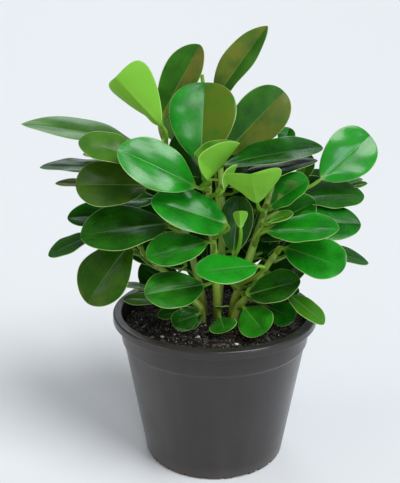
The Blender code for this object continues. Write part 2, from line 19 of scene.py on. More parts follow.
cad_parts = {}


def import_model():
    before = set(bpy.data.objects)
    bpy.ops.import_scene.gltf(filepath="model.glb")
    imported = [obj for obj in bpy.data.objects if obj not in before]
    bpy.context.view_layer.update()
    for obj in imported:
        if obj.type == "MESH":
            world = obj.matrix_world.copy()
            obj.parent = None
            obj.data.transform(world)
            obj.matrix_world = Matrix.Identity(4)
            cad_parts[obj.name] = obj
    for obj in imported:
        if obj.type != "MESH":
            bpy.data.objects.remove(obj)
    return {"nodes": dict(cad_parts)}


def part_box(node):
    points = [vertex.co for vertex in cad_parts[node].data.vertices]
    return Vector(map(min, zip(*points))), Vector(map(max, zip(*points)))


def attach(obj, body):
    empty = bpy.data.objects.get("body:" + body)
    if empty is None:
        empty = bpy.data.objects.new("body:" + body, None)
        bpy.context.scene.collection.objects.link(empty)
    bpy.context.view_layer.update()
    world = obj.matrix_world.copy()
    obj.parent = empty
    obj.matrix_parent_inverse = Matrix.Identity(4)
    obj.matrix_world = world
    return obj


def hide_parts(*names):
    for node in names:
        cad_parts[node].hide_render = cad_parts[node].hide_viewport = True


MM = 0.001
BODY = "root"
LOG = logging.getLogger("potted_plant")

Colour = tuple[float, float, float]
Place = tuple[float, float, float]
Socket = bpy.types.NodeSocket


# ---- Node helpers -----------------------------------------------------------------------------

class Board:
    """A node tree with short calls for adding and joining nodes."""

    def __init__(self, tree: bpy.types.NodeTree) -> None:
        """Works on this tree."""
        self.tree = tree

    def feed(self, socket: Socket, value: object) -> None:
        """Links a socket to this one, or sets a plain value on it."""
        if isinstance(value, bpy.types.NodeSocket):
            self.tree.links.new(value, socket)
        elif isinstance(value, tuple) and socket.type == "RGBA":
            socket.default_value = (*value[:3], 1.0)
        else:
            socket.default_value = value

    def node(self, kind: str, inputs: dict[str | int, object] | None = None,
             **settings: object) -> bpy.types.Node:
        """Adds a node.

        Args:
            kind: Blender's type name for the node.
            inputs: Socket name or index, and the socket or value that it takes.
            **settings: The node's own properties.

        Returns:
            The new node.
        """
        made = self.tree.nodes.new(kind)
        for name, value in settings.items():
            setattr(made, name, value)
        for key, value in (inputs or {}).items():
            self.feed(made.inputs[key], value)
        return made

    def maths(self, operation: str, *values: object, clamp: bool = False) -> Socket:
        """A Math node over up to three values."""
        inputs = dict(enumerate(values))
        return self.node("ShaderNodeMath", inputs, operation=operation, use_clamp=clamp).outputs[0]

    def vector(self, operation: str, *values: object) -> Socket:
        """A Vector Math node over up to three vectors."""
        return self.node("ShaderNodeVectorMath", dict(enumerate(values)), operation=operation).outputs[0]

    def apart(self, vector: Socket) -> list[Socket]:
        """The three parts of a vector."""
        return list(self.node("ShaderNodeSeparateXYZ", {0: vector}).outputs)

    def together(self, x: object, y: object, z: object) -> Socket:
        """A vector from three numbers."""
        return self.node("ShaderNodeCombineXYZ", {0: x, 1: y, 2: z}).outputs[0]

    def band(self, value: Socket, start: float, end: float, low: float = 0.0, high: float = 1.0) -> Socket:
        """Goes smoothly from low to high while the value goes from start to end."""
        inputs = {0: value, 1: start, 2: end, 3: low, 4: high}
        return self.node("ShaderNodeMapRange", inputs, interpolation_type="SMOOTHSTEP").outputs[0]


class Finish(Board):
    """One Principled material while it is being made."""

    def __init__(self, name: str, **constants: object) -> None:
        """Starts a material.

        Args:
            name: The material's name.
            **constants: Values for the shader's own sockets, named with underscores for spaces.
        """
        self.material = bpy.data.materials.new(name)
        self.material.use_nodes = True
        super().__init__(self.material.node_tree)
        self.shader = self.tree.nodes["Principled BSDF"]
        self.set(**constants)

    def set(self, **values: object) -> None:
        """Feeds the shader's sockets, named with underscores for spaces."""
        for name, value in values.items():
            self.feed(self.shader.inputs[name.replace("_", " ")], value)

    def place(self) -> Socket:
        """The point on the object, in its own metres."""
        return self.node("ShaderNodeTexCoord").outputs["Object"]

    def attribute(self, name: str) -> list[Socket]:
        """The three parts of an attribute that the mesh holds."""
        return self.apart(self.node("ShaderNodeAttribute", attribute_name=name).outputs["Vector"])

    def noise(self, size: float, detail: float = 2.0, roughness: float = 0.5,
              where: Socket | None = None) -> Socket:
        """Noise whose blotches are about this size in metres."""
        inputs = {"Vector": where or self.place(), "Scale": 1 / size, "Detail": detail,
                  "Roughness": roughness}
        return self.node("ShaderNodeTexNoise", inputs).outputs[0]

    def mix(self, share: object, first: object, second: object) -> Socket:
        """A colour between two others."""
        made = self.node("ShaderNodeMix", data_type="RGBA")
        for index, value in ((0, share), (6, first), (7, second)):
            self.feed(made.inputs[index], value)
        return made.outputs[2]

    def bump(self, height: Socket, depth: float, below: Socket | None = None) -> Socket:
        """A normal from a height of 0 to 1 that stands for this depth in metres."""
        inputs = {"Height": height, "Distance": depth, "Strength": 1.0}
        if below is not None:
            inputs["Normal"] = below
        return self.node("ShaderNodeBump", inputs).outputs[0]


class Growth(Board):
    """A Geometry Nodes tree while it is being made, and the modifier run that applies it."""

    def __init__(self, name: str, **sizes: tuple[str, object]) -> None:
        """Starts a tree.

        Args:
            name: The tree's name.
            **sizes: Each input's name with underscores for spaces, its socket type and its value.
        """
        super().__init__(bpy.data.node_groups.new(name, "GeometryNodeTree"))
        self.tree.interface.new_socket("Geometry", in_out="INPUT", socket_type="NodeSocketGeometry")
        self.tree.interface.new_socket("Geometry", in_out="OUTPUT", socket_type="NodeSocketGeometry")
        self.values: dict[str, object] = {}
        for key, (kind, value) in sizes.items():
            item = self.tree.interface.new_socket(
                key.replace("_", " "), in_out="INPUT", socket_type="NodeSocket" + kind)
            self.values[item.identifier] = value
        self.start = self.tree.nodes.new("NodeGroupInput")
        self.end = self.tree.nodes.new("NodeGroupOutput")

    def given(self, name: str) -> Socket:
        """The socket of a named input."""
        return self.start.outputs[name]

    def close(self, shape: Socket, material: Socket) -> None:
        """Ends the tree: instances are made real and take the material."""
        real = self.node("GeometryNodeRealizeInstances", {0: shape}).outputs[0]
        dressed = self.node("GeometryNodeSetMaterial", {"Geometry": real, "Material": material})
        self.feed(self.end.inputs[0], dressed.outputs[0])

    def grow(self, name: str, seed_mesh: bpy.types.Mesh) -> bpy.types.Object:
        """Runs the tree on a mesh and keeps the result as a plain mesh.

        Args:
            name: Name of the piece.
            seed_mesh: The mesh that enters the tree.

        Returns:
            The piece, with no modifier left.
        """
        piece = bpy.data.objects.new(name, seed_mesh)
        bpy.context.scene.collection.objects.link(piece)
        modifier = piece.modifiers.new("growth", "NODES")
        modifier.node_group = self.tree
        for identifier, value in self.values.items():
            modifier[identifier] = value
        graph = bpy.context.evaluated_depsgraph_get()
        made = bpy.data.meshes.new_from_object(piece.evaluated_get(graph))
        piece.modifiers.remove(modifier)
        piece.data = made
        made.name = name
        return piece


# ---- Finishes ---------------------------------------------------------------------------------

VEIN_SHARES = (0.30, 0.58, 0.80)


class Slot(Enum):
    """The record's material slots."""

    POT = "pot_plastic"
    MIX = "potting_mix"
    STEM = "stem_green"
    MATURE = "leaf_mature"
    DARK = "leaf_dark"
    OLIVE = "leaf_olive"
    YOUNG = "leaf_young"


@dataclass(frozen=True)
class PotPlastic:
    """Satin black plastic, moulded, with faint streaks, scuffs and settled dust."""

    black: Colour = (0.025, 0.021, 0.020)
    worn: Colour = (0.034, 0.029, 0.028)
    dust: Colour = (0.13, 0.11, 0.09)
    roughness: float = 0.34

    def make(self) -> bpy.types.Material:
        """The finished material."""
        made = Finish(Slot.POT.value, Specular_IOR_Level=0.34, Coat_Weight=0.30, Coat_Roughness=0.08)
        place = made.place()
        x, y, z = made.apart(place)
        drawn = made.together(x, y, made.maths("MULTIPLY", z, 0.08))
        streaks = made.noise(0.014, 3.0, 0.5, drawn)
        clouds = made.noise(0.045, 3.0, 0.55)
        grain = made.noise(0.0006, 2.0, 0.6)
        scuffs = made.band(made.noise(0.0035, 6.0, 0.75), 0.62, 0.74)
        shade = made.maths("MULTIPLY", clouds, streaks)
        colour = made.mix(made.band(shade, 0.15, 0.42), self.black, self.worn)
        low = made.band(z, 0.012, 0.0, 0.0, 0.55)
        colour = made.mix(made.maths("MULTIPLY", low, clouds), colour, self.dust)
        colour = made.mix(made.maths("MULTIPLY", scuffs, 0.25), colour, self.dust)
        rough = made.band(clouds, 0.3, 0.7, self.roughness - 0.06, self.roughness + 0.10)
        rough = made.maths("ADD", rough, made.maths("MULTIPLY", scuffs, 0.15))
        made.set(Base_Color=colour, Roughness=rough)
        made.set(Normal=made.bump(grain, 0.00003))
        return made.material


@dataclass(frozen=True)
class Earth:
    """Crumbs of peat and bark, or perlite, each with its own shade."""

    name: str
    dark: Colour
    light: Colour
    roughness: float
    grain: float
    relief: float

    def make(self) -> bpy.types.Material:
        """The finished material."""
        made = Finish(self.name, Specular_IOR_Level=0.35)
        shade, _, _ = made.attribute("shade")
        fine = made.noise(self.grain, 4.0, 0.7)
        blend = made.maths("ADD", made.maths("MULTIPLY", shade, 0.7), made.maths("MULTIPLY", fine, 0.5))
        made.set(Base_Color=made.mix(made.band(blend, 0.25, 1.0), self.dark, self.light))
        made.set(Roughness=made.band(fine, 0.3, 0.7, self.roughness - 0.15, self.roughness + 0.05))
        made.set(Normal=made.bump(fine, self.relief))
        return made.material


@dataclass(frozen=True)
class StemSkin:
    """Smooth fleshy stem: olive low down, fresh green higher, with duller rings at its joints."""

    low: Colour = (0.290, 0.330, 0.050)
    high: Colour = (0.300, 0.540, 0.050)
    joint: Colour = (0.210, 0.240, 0.045)
    streak: Colour = (0.480, 0.620, 0.140)

    def make(self) -> bpy.types.Material:
        """The finished material."""
        made = Finish(Slot.STEM.value, Subsurface_Weight=0.18, Subsurface_Radius=(0.9, 1.0, 0.3),
                      Subsurface_Scale=0.0015, Coat_Weight=0.25, Coat_Roughness=0.25)
        share, joint, _ = made.attribute("stem_place")
        blotches = made.noise(0.006, 4.0, 0.6)
        x, y, z = made.apart(made.place())
        drawn = made.together(x, y, made.maths("MULTIPLY", z, 0.12))
        streaks = made.noise(0.0009, 3.0, 0.6, drawn)
        height = made.maths("ADD", share, made.maths("MULTIPLY", blotches, 0.5))
        colour = made.mix(made.band(height, 0.22, 0.60), self.low, self.high)
        colour = made.mix(made.band(streaks, 0.52, 0.75, 0.0, 0.45), colour, self.streak)
        colour = made.mix(made.maths("MULTIPLY", joint, 0.75), colour, self.joint)
        made.set(Base_Color=colour, Roughness=made.band(blotches, 0.3, 0.7, 0.34, 0.5))
        made.set(Normal=made.bump(streaks, 0.00008))
        return made.material


@dataclass(frozen=True)
class LeafSkin:
    """Waxy leaf: upper side, paler underside, pale margin and midrib, curved veins and stalk."""

    slot: Slot
    deep: Colour
    fresh: Colour
    warm: Colour
    under: Colour
    margin: Colour = (0.36, 0.52, 0.16)
    midrib: Colour = (0.16, 0.36, 0.08)
    stalk: Colour = (0.200, 0.400, 0.035)
    roughness: float = 0.28
    coat_roughness: float = 0.20
    glow: float = 0.10

    def make(self) -> bpy.types.Material:
        """The finished material."""
        made = Finish(self.slot.value, Subsurface_Weight=self.glow, Subsurface_Radius=(0.5, 1.0, 0.15),
                      Subsurface_Scale=0.0012, Specular_IOR_Level=0.12,
                      Coat_Roughness=self.coat_roughness)
        across, along, upper = made.attribute("blade_place")
        half, blade, warm_reflection_side = made.attribute("blade_size")
        tone, warmth, shine = made.attribute("leaf_tone")
        out = made.maths("ABSOLUTE", across)
        from_rib = made.maths("MULTIPLY", out, half)
        from_edge = made.maths("SUBTRACT", half, from_rib)
        top = made.band(upper, 0.35, 0.65)

        clouds = made.noise(0.014, 3.0, 0.55)
        fine = made.noise(0.0011, 3.0, 0.65)
        pores = made.noise(0.00045, 2.0, 0.6)
        fade = made.maths("MULTIPLY_ADD", clouds, 0.9, made.maths("MULTIPLY", tone, 0.5))
        fade = made.maths("ADD", fade, made.band(out, 0.25, 1.0, 0.0, 0.12))
        fade = made.maths("ADD", fade, made.maths("MULTIPLY", fine, 0.16))
        colour = made.mix(made.band(fade, 0.18, 0.98), self.deep, self.fresh)
        # Painted reflection: where warm_reflection_side is 1 or -1, the warm colour is doubled on one half
        # of the blade and left off the other. This stands in for a warm reflection off that half. Where it
        # is 0, the warmth is the leaf's own even tone.
        painted_reflection_side = made.band(made.maths("MULTIPLY", across, warm_reflection_side), -0.06, 0.06, 0.0, 2.0)
        warmth = made.maths("MULTIPLY", warmth, painted_reflection_side)
        warmth = made.maths("MULTIPLY", warmth, made.band(clouds, 0.25, 0.7, 0.35, 1.0), clamp=True)
        colour = made.mix(warmth, colour, self.warm)
        veins = self.veins(made, out, half)
        colour = made.mix(made.maths("MULTIPLY", veins, 0.06), colour, self.midrib)
        beneath = made.mix(made.band(fade, 0.1, 0.9), self.under, self.fresh)
        beneath = made.mix(made.maths("MULTIPLY", veins, 0.10), beneath, self.midrib)
        colour = made.mix(top, beneath, colour)
        rib_width = made.band(along, 0.0, 0.9, 0.9, 0.28)
        rib = made.maths("SUBTRACT", 1.0, made.maths("DIVIDE", from_rib, rib_width), clamp=True)
        rib = made.maths("MULTIPLY", made.band(rib, 0.0, 0.8), made.band(along, 1.0, 0.6, 0.0, 0.5))
        colour = made.mix(rib, colour, self.midrib)
        edge = made.band(from_edge, 0.60, 0.15)
        colour = made.mix(made.maths("MULTIPLY", edge, blade), colour, self.margin)
        stalk = made.mix(made.band(clouds, 0.3, 0.7, 0.0, 0.5), self.stalk, self.warm)
        colour = made.mix(made.band(blade, 0.25, 0.95), stalk, colour)
        made.set(Base_Color=colour)

        rough = made.maths("MULTIPLY_ADD", fine, 0.14, self.roughness - 0.05)
        rough = made.maths("SUBTRACT", rough, made.maths("MULTIPLY", shine, 0.08))
        gloss = made.maths("MULTIPLY", made.maths("ADD", made.maths("MULTIPLY", shine, 0.85), 0.03), top)
        made.set(Coat_Weight=made.maths("MULTIPLY", gloss, made.band(fine, 0.30, 0.62, 0.45, 1.0)))
        rough = made.maths("ADD", rough, made.maths("MULTIPLY", made.maths("SUBTRACT", 1.0, top), 0.16))
        made.set(Roughness=rough)
        dimples = made.maths("ADD", made.maths("MULTIPLY", fine, 0.7), made.maths("MULTIPLY", pores, 0.5))
        normal = made.bump(dimples, 0.00006)
        normal = made.bump(veins, -0.00003, normal)
        made.set(Normal=normal)
        return made.material

    @staticmethod
    def veins(made: Finish, out: Socket, half: Socket) -> Socket:
        """Soft lines at fixed shares of the half width, which run from the stalk to the tip."""
        total: object = 0.0
        for share, width in zip(VEIN_SHARES, (0.40, 0.34, 0.28)):
            off = made.maths("MULTIPLY", made.maths("ABSOLUTE", made.maths("SUBTRACT", out, share)), half)
            total = made.maths("ADD", total, made.band(off, width, 0.0))
        return made.maths("MINIMUM", total, 1.0)


LEAF_SKINS = (
    LeafSkin(Slot.MATURE, deep=(0.003, 0.070, 0.002), fresh=(0.012, 0.300, 0.010),
             warm=(0.095, 0.160, 0.006), under=(0.060, 0.140, 0.020)),
    LeafSkin(Slot.DARK, deep=(0.003, 0.036, 0.001), fresh=(0.012, 0.170, 0.004),
             warm=(0.045, 0.075, 0.004), under=(0.045, 0.100, 0.018)),
    LeafSkin(Slot.OLIVE, deep=(0.012, 0.080, 0.005), fresh=(0.050, 0.200, 0.010),
             warm=(0.190, 0.165, 0.022), under=(0.090, 0.150, 0.035), roughness=0.38),
    LeafSkin(Slot.YOUNG, deep=(0.050, 0.210, 0.006), fresh=(0.200, 0.500, 0.040),
             warm=(0.045, 0.170, 0.004), under=(0.150, 0.400, 0.030), margin=(0.42, 0.64, 0.18),
             midrib=(0.26, 0.50, 0.10), stalk=(0.17, 0.36, 0.03), roughness=0.38, glow=0.25),
)


# ---- Shape helpers ----------------------------------------------------------------------------

def unit(v: np.ndarray) -> np.ndarray:
    """The vectors scaled to length 1."""
    return v / np.linalg.norm(v, axis=-1, keepdims=True)


def smooth(x: np.ndarray | float, start: float, end: float) -> np.ndarray:
    """0 before start, 1 after end, and a smooth step between."""
    t = np.clip((np.asarray(x, float) - start) / (end - start), 0, 1)
    return t * t * (3 - 2 * t)


def spline(knots: np.ndarray, values: np.ndarray, places: np.ndarray) -> np.ndarray:
    """A natural cubic spline.

    Args:
        knots: Rising parameters, one for each value.
        values: Numbers or vectors to pass through.
        places: Parameters to read at.

    Returns:
        The values there.
    """
    values = np.asarray(values, float)
    gaps = np.diff(knots)
    slopes = (np.diff(values, axis=0).T / gaps).T
    system = np.eye(len(knots))
    bends = np.zeros_like(values)
    for i in range(1, len(knots) - 1):
        system[i, i - 1:i + 2] = gaps[i - 1], 2 * (gaps[i - 1] + gaps[i]), gaps[i]
        bends[i] = 6 * (slopes[i] - slopes[i - 1])
    bends = np.linalg.solve(system, bends)
    i = np.clip(np.searchsorted(knots, places) - 1, 0, len(gaps) - 1)
    shape = (-1,) + (1,) * (values.ndim - 1)
    step = gaps[i].reshape(shape)
    b = ((places - knots[i]) / gaps[i]).reshape(shape)
    a = 1 - b
    bow = ((a ** 3 - a) * bends[i] + (b ** 3 - b) * bends[i + 1]) * step ** 2 / 6
    return a * values[i] + b * values[i + 1] + bow


def run_of(points: np.ndarray) -> np.ndarray:
    """Distance along a line of points, from its start."""
    return np.concatenate(([0.0], np.cumsum(np.linalg.norm(np.diff(points, axis=0), axis=1))))


def merged(node: bpy.types.Object) -> bmesh.types.BMesh:
    """A copy of a CAD node's mesh with its loose triangles joined."""
    mesh = bmesh.new()
    mesh.from_mesh(node.data)
    bmesh.ops.remove_doubles(mesh, verts=mesh.verts, dist=1e-6)
    mesh.verts.ensure_lookup_table()
    return mesh


def rings_from(mesh: bmesh.types.BMesh, first: list[bmesh.types.BMVert],
               seen: set[bmesh.types.BMVert]) -> list[np.ndarray]:
    """Reads a lofted mesh ring by ring.

    Args:
        mesh: The merged mesh.
        first: The vertices of one end ring.
        seen: Vertices to leave out.

    Returns:
        The rings from that end on, each with its points in order.
    """
    rings = []
    level = list(first)
    seen = set(seen) | set(level)
    while level:
        members = set(level)
        order = [level[0]]
        while len(order) < len(level):
            near = [e.other_vert(order[-1]) for e in order[-1].link_edges]
            near = [v for v in near if v in members and v not in order]
            rim = [v for v in near if any(f for f in v.link_faces
                                          if order[-1] in f.verts and not members.issuperset(f.verts))]
            order.append((rim or near)[0])
        rings.append(np.array([v.co for v in order]))
        level = list({e.other_vert(v) for v in level for e in v.link_edges} - seen)
        seen |= set(level)
    return rings


def lofted(name: str, rings: np.ndarray, tip: np.ndarray | None) -> bpy.types.Mesh:
    """A closed mesh through rings of equal count, with a fan at its start.

    Args:
        name: The mesh's name.
        rings: Points, ring by ring.
        tip: The point that closes the end, or None for a fan round the last ring's middle.

    Returns:
        The mesh: ring vertices in order, then the start's and the end's middle.
    """
    count, around = rings.shape[:2]
    end = rings[-1].mean(axis=0) if tip is None else tip
    points = np.concatenate([rings.reshape(-1, 3), [rings[0].mean(axis=0)], [end]])
    i = np.arange(around)
    j = (i + 1) % around
    rows = np.arange(count - 1)[:, None] * around
    quads = np.stack([rows + i, rows + j, rows + around + j, rows + around + i], axis=-1)
    last = (count - 1) * around
    start_fan = np.stack([j, i, np.full(around, count * around)], axis=-1)
    end_fan = np.stack([last + i, last + j, np.full(around, count * around + 1)], axis=-1)
    faces = [*quads.reshape(-1, 4).tolist(), *start_fan.tolist(), *end_fan.tolist()]
    mesh = bpy.data.meshes.new(name)
    mesh.from_pydata(points.tolist(), [], faces)
    mesh.shade_smooth()
    return mesh


def store(mesh: bpy.types.Mesh, name: str, values: np.ndarray) -> None:
    """Keeps three numbers for each vertex as an attribute of the mesh."""
    made = mesh.attributes.new(name, "FLOAT_VECTOR", "POINT")
    made.data.foreach_set("vector", np.ascontiguousarray(values, np.float32).ravel())


def placed(name: str, mesh: bpy.types.Mesh, material: bpy.types.Material, slot: Slot,
           *nodes: str) -> bpy.types.Object:
    """Makes a mesh a piece of the object.

    Args:
        name: The piece's name.
        mesh: Its mesh, in the frame's coordinates.
        material: Its finish.
        slot: The record's slot that the finish belongs to; not used.
        *nodes: The CAD nodes that it stands for.

    Returns:
        The piece.
    """
    piece = bpy.data.objects.new(name, mesh)
    bpy.context.scene.collection.objects.link(piece)
    mesh.materials.clear()
    mesh.materials.append(material)
    return settled(piece, slot, *nodes)


def settled(piece: bpy.types.Object, slot: Slot, *nodes: str) -> bpy.types.Object:
    """Lets a piece ride on the plant's one body, and hides the CAD nodes that it stands for."""
    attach(piece, BODY)
    if nodes:
        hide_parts(*nodes)
    return piece


def heading_way(heading: float, pitch: float) -> np.ndarray:
    """Unit vector from a heading round +Z and a rise, in degrees."""
    h, p = math.radians(heading), math.radians(pitch)
    return np.array([math.cos(p) * math.cos(h), math.cos(p) * math.sin(h), math.sin(p)])


def squared(v: np.ndarray, axis: np.ndarray) -> np.ndarray:
    """The part of a vector square to an axis, as a unit vector."""
    return unit(v - np.dot(v, axis) * axis)


def eased(start: np.ndarray, start_way: np.ndarray, end: np.ndarray, end_way: np.ndarray,
          steps: int) -> tuple[np.ndarray, np.ndarray]:
    """Points and unit tangents along one Bezier span between two ends and their directions."""
    reach = 0.36 * np.linalg.norm(end - start)
    a, b, c, d = start, start + reach * start_way, end - reach * end_way, end
    u = np.linspace(0, 1, steps)[:, None]
    places = (1 - u) ** 3 * a + 3 * (1 - u) ** 2 * u * b + 3 * (1 - u) * u ** 2 * c + u ** 3 * d
    return places, unit((1 - u) ** 2 * (b - a) + 2 * (1 - u) * u * (c - b) + u ** 2 * (d - c))


# ---- Leaves -----------------------------------------------------------------------------------

BLADE_RINGS = 7
RING_SHARES = (0.07, 0.19, 0.34, 0.50, 0.66, 0.81, 0.93)
RING_PLACES = ((1, 0), (0.5, 1), (0, 1), (-0.5, 1), (-1, 0), (-0.5, -1), (0, -1), (0.5, -1))


@dataclass(frozen=True)
class Habit:
    """What sets one leaf apart: its colour, gloss and the small ways that it departs from its line."""

    tone: float = 0.0
    warmth: float = 0.0
    shine: float = 0.0
    # Side of the blade (1 or -1) that takes a painted warm reflection, or 0 for none.
    warm_reflection_side: float = 0.0
    wave: float = 0.7
    curl: float = 0.0
    twist: float = 0.0
    belly: float = 0.05


@dataclass(frozen=True)
class Sprig:
    """A leaf that only the looks have: a young or half-hidden one, given by a few sizes in mm."""

    name: str
    base: Place
    heading: float
    pitch: float
    length: float
    width: float
    face: Place
    slot: Slot
    habit: Habit = Habit()
    droop: float = 8.0
    cup: float = 8.0
    stalk: float = 1.0
    outline: tuple[float, float] = (0.82, 0.60)

    def share(self, s: float) -> float:
        """Width at a share of the length, as a share of the greatest width."""
        rise, fall = self.outline
        widest = rise / (rise + fall)
        return (s / widest) ** rise * ((1 - s) / (1 - widest)) ** fall


@dataclass(frozen=True)
class Stations:
    """A leaf along its line, one value for each station from the foot of the stalk to the tip."""

    at: np.ndarray
    share: np.ndarray
    blade: np.ndarray
    middle: np.ndarray
    side: np.ndarray
    up: np.ndarray
    reach: np.ndarray
    stalk_radius: np.ndarray
    depth: np.ndarray
    cup: float


@dataclass(frozen=True)
class Columns:
    """A leaf round its line: shares of the half width, the side they lie on, the last one on top."""

    u: np.ndarray
    face: np.ndarray
    last_top: int


@dataclass
class Leaf:
    """One leaf: a grooved stalk that runs on into a fleshy blade."""

    name: str
    rings: list[np.ndarray]
    tip: np.ndarray
    habit: Habit
    seed: int
    blade_steps: int = 44
    stalk_pitch: float = 2.0 * MM
    across_steps: int = 14
    sink: float = 1.8 * MM
    rib_groove: float = 0.22 * MM
    rib_keel: float = 0.60 * MM
    vein_groove: float = 0.04 * MM

    @classmethod
    def from_node(cls, node: bpy.types.Object, habit: Habit, seed: int) -> "Leaf":
        """Reads a leaf's rings from its CAD node, from the foot of the stalk to the tip."""
        mesh = merged(node)
        apex = max(mesh.verts, key=lambda v: len(v.link_edges) == 8)
        rings = rings_from(mesh, [e.other_vert(apex) for e in apex.link_edges], {apex})[::-1]
        tip = np.array(apex.co)
        mesh.free()
        return cls(node.name, cls.righted(rings), tip, habit, seed)

    @classmethod
    def grown(cls, sprig: "Sprig", stems: list["Stem"], seed: int) -> "Leaf":
        """Makes a leaf's rings from a few sizes, its stalk set on the nearest stem.

        Args:
            sprig: The leaf's place, way, sizes and habit.
            stems: The stems to choose from.
            seed: Seed of its small departures.

        Returns:
            The leaf.
        """
        base = MM * np.array(sprig.base)
        ahead = heading_way(sprig.heading, sprig.pitch)
        up = squared(np.array(sprig.face, float), ahead)
        stem = min(stems, key=lambda s: s.nearest(base)[0])
        foot, way, radius = stem.setting(base)
        places, ways = eased(foot + radius * way, unit(way + 0.6 * np.array([0, 0, 1.0])), base, ahead, 5)
        rings = []
        normal = up
        for place, along in zip(places[::-1], ways[::-1]):
            normal = squared(normal, along)
            side = np.cross(normal, along)
            turns = np.radians(np.arange(0, 360, 45))
            rings.insert(0, place + sprig.stalk * MM * (np.cos(turns)[:, None] * side
                                                        + np.sin(turns)[:, None] * normal))
        shares = np.linspace(0, 1, 201)
        bends = np.radians(sprig.droop) * (0.5 - shares)
        ways = np.cos(bends)[:, None] * ahead + np.sin(bends)[:, None] * up
        line = base + np.cumsum(ways, axis=0) * sprig.length * MM / 200
        for s in RING_SHARES:
            i = round(200 * s)
            normal = squared(up, ways[i])
            side = np.cross(normal, ways[i])
            half = sprig.width * MM / 2 * sprig.share(s)
            cup = math.radians(sprig.cup) * min(1, s / 0.3)
            rings.append(np.array([
                line[i] + half * u * math.cos(cup) * side
                + (half * abs(u) ** 1.5 * math.sin(cup) + face * 0.55 * MM * (1 - u * u)) * normal
                for u, face in RING_PLACES]))
        return cls(sprig.name, rings, line[-1], sprig.habit, seed)

    @staticmethod
    def righted(rings: list[np.ndarray]) -> list[np.ndarray]:
        """Orders every ring so that points 0 and 4 are its edges and 2 the middle of its upper side.

        Args:
            rings: The rings from the foot of the stalk on, each in any order round.

        Returns:
            The ordered rings.
        """
        stalk = len(rings) - BLADE_RINGS
        centres = [r.mean(axis=0) for r in rings]
        done: list[np.ndarray] = []
        up = np.zeros(3)
        for i, ring in enumerate(rings):
            spans = [np.linalg.norm(ring[k] - ring[k + 4]) for k in range(4)]
            ahead = centres[min(i + 1, len(rings) - 1)] - centres[max(i - 1, 0)]
            if i < stalk:
                groove = int(np.argmin(spans))
                middle = np.delete(ring, [groove, groove + 4], axis=0).mean(axis=0)
                if np.linalg.norm(ring[groove] - middle) > np.linalg.norm(ring[groove + 4] - middle):
                    groove += 4
                up = ring[groove] - middle
                starts = [groove - 2]
            else:
                edge = int(np.argmax(spans))
                starts = [edge, edge + 4]
            side = np.cross(up, ahead)
            options = []
            for start in starts:
                turned = np.roll(ring, -start, axis=0)
                options += [turned, turned[(4 - np.arange(8)) % 8], turned[-np.arange(8) % 8]]
            done.append(max(options, key=lambda r: float(
                np.dot(unit(r[2] - r[6]), unit(up)) + np.dot(unit(r[0] - r[4]), unit(side)))))
            up = done[-1][2] - done[-1][6]
        return done

    def build(self, material: bpy.types.Material, slot: Slot, *nodes: str) -> bpy.types.Object:
        """Makes the piece and lets it stand for its CAD node, if it has one."""
        return placed(self.name + "_skin", self.mesh(), material, slot, *nodes)

    def mesh(self) -> bpy.types.Mesh:
        """The fine closed mesh, with its attributes and UV map."""
        rng = np.random.default_rng(self.seed)
        run = self.stations()
        across = self.columns()
        lean = run.cup * smooth(run.share[:, None], 0, 0.30)
        blade = run.blade[:, None]
        out = run.reach[:, None] * across.u[None, :] * (1 - blade + blade * np.cos(lean))
        lift = (1 - blade) * self.stalk_lift(run, across) + blade * self.blade_lift(run, across, lean, rng)
        grid = run.middle[:, None] + out[..., None] * run.side[:, None] + lift[..., None] * run.up[:, None]
        made = lofted(self.name, grid, self.tip)
        self.mark(made, run, across)
        self.unwrap(made, run.at, run.reach, across.u, across.last_top)
        return made

    def stations(self) -> "Stations":
        """The leaf's line, directions, width and thickness at close stations from foot to tip."""
        rings = np.array(self.rings)
        stalk = len(rings) - BLADE_RINGS
        centres = (rings[:, 2] + rings[:, 6]) / 2
        centres[:stalk] = (rings[:stalk, 0] + rings[:stalk, 4]) / 2
        ups = unit(rings[:, 2] - rings[:, 6])
        half = np.linalg.norm(rings[:, 0] - rings[:, 4], axis=1) / 2
        rise = np.einsum("ij,ij->i", (rings[:, 0] + rings[:, 4]) / 2 - centres, ups)
        thick = np.linalg.norm(rings[:, 2] - rings[:, 6], axis=1)
        line = np.concatenate([centres, [self.tip]])
        knots = run_of(line)
        start, length = knots[stalk - 1], knots[-1] - knots[stalk - 1]

        # Outline of the blade: rises and falls as powers of the share of its length
        shares = (knots[stalk:-1] - start) / length
        widths = np.hypot(half[stalk:], rise[stalk:])
        terms = np.stack([np.ones_like(shares), np.log(shares), np.log(1 - shares)], axis=1)
        scale, up_power, down_power = np.linalg.lstsq(terms, np.log(widths), rcond=None)[0]
        cup = float(np.arctan2(rise[-3], half[-3]))

        # Stations along the stalk and the blade
        blade_at = (1 - np.cos(np.linspace(0, np.pi, self.blade_steps + 1))) / 2
        blade_at = start + length * blade_at[:-1]
        stalk_count = max(4, int(start / self.stalk_pitch))
        stalk_at = np.linspace(-self.sink, start, stalk_count, endpoint=False)
        at = np.concatenate([stalk_at, blade_at])
        eps = 0.05 * MM
        middle = spline(knots, line, at)
        ahead = unit(spline(knots, line, at + eps) - spline(knots, line, at - eps))
        up = spline(knots[:-1], ups, np.minimum(at, knots[-2]))
        up = unit(up - np.einsum("ij,ij->i", up, ahead)[:, None] * ahead)
        share = np.clip((at - start) / length, 0, 1)
        turn = np.radians(self.habit.twist) * (share - 0.4) * smooth(share, 0, 0.3)
        side = np.cross(up, ahead)
        up = up * np.cos(turn)[:, None] + side * np.sin(turn)[:, None]
        side = np.cross(up, ahead)
        blade = smooth((at - start) / length, -0.04, 0.11)

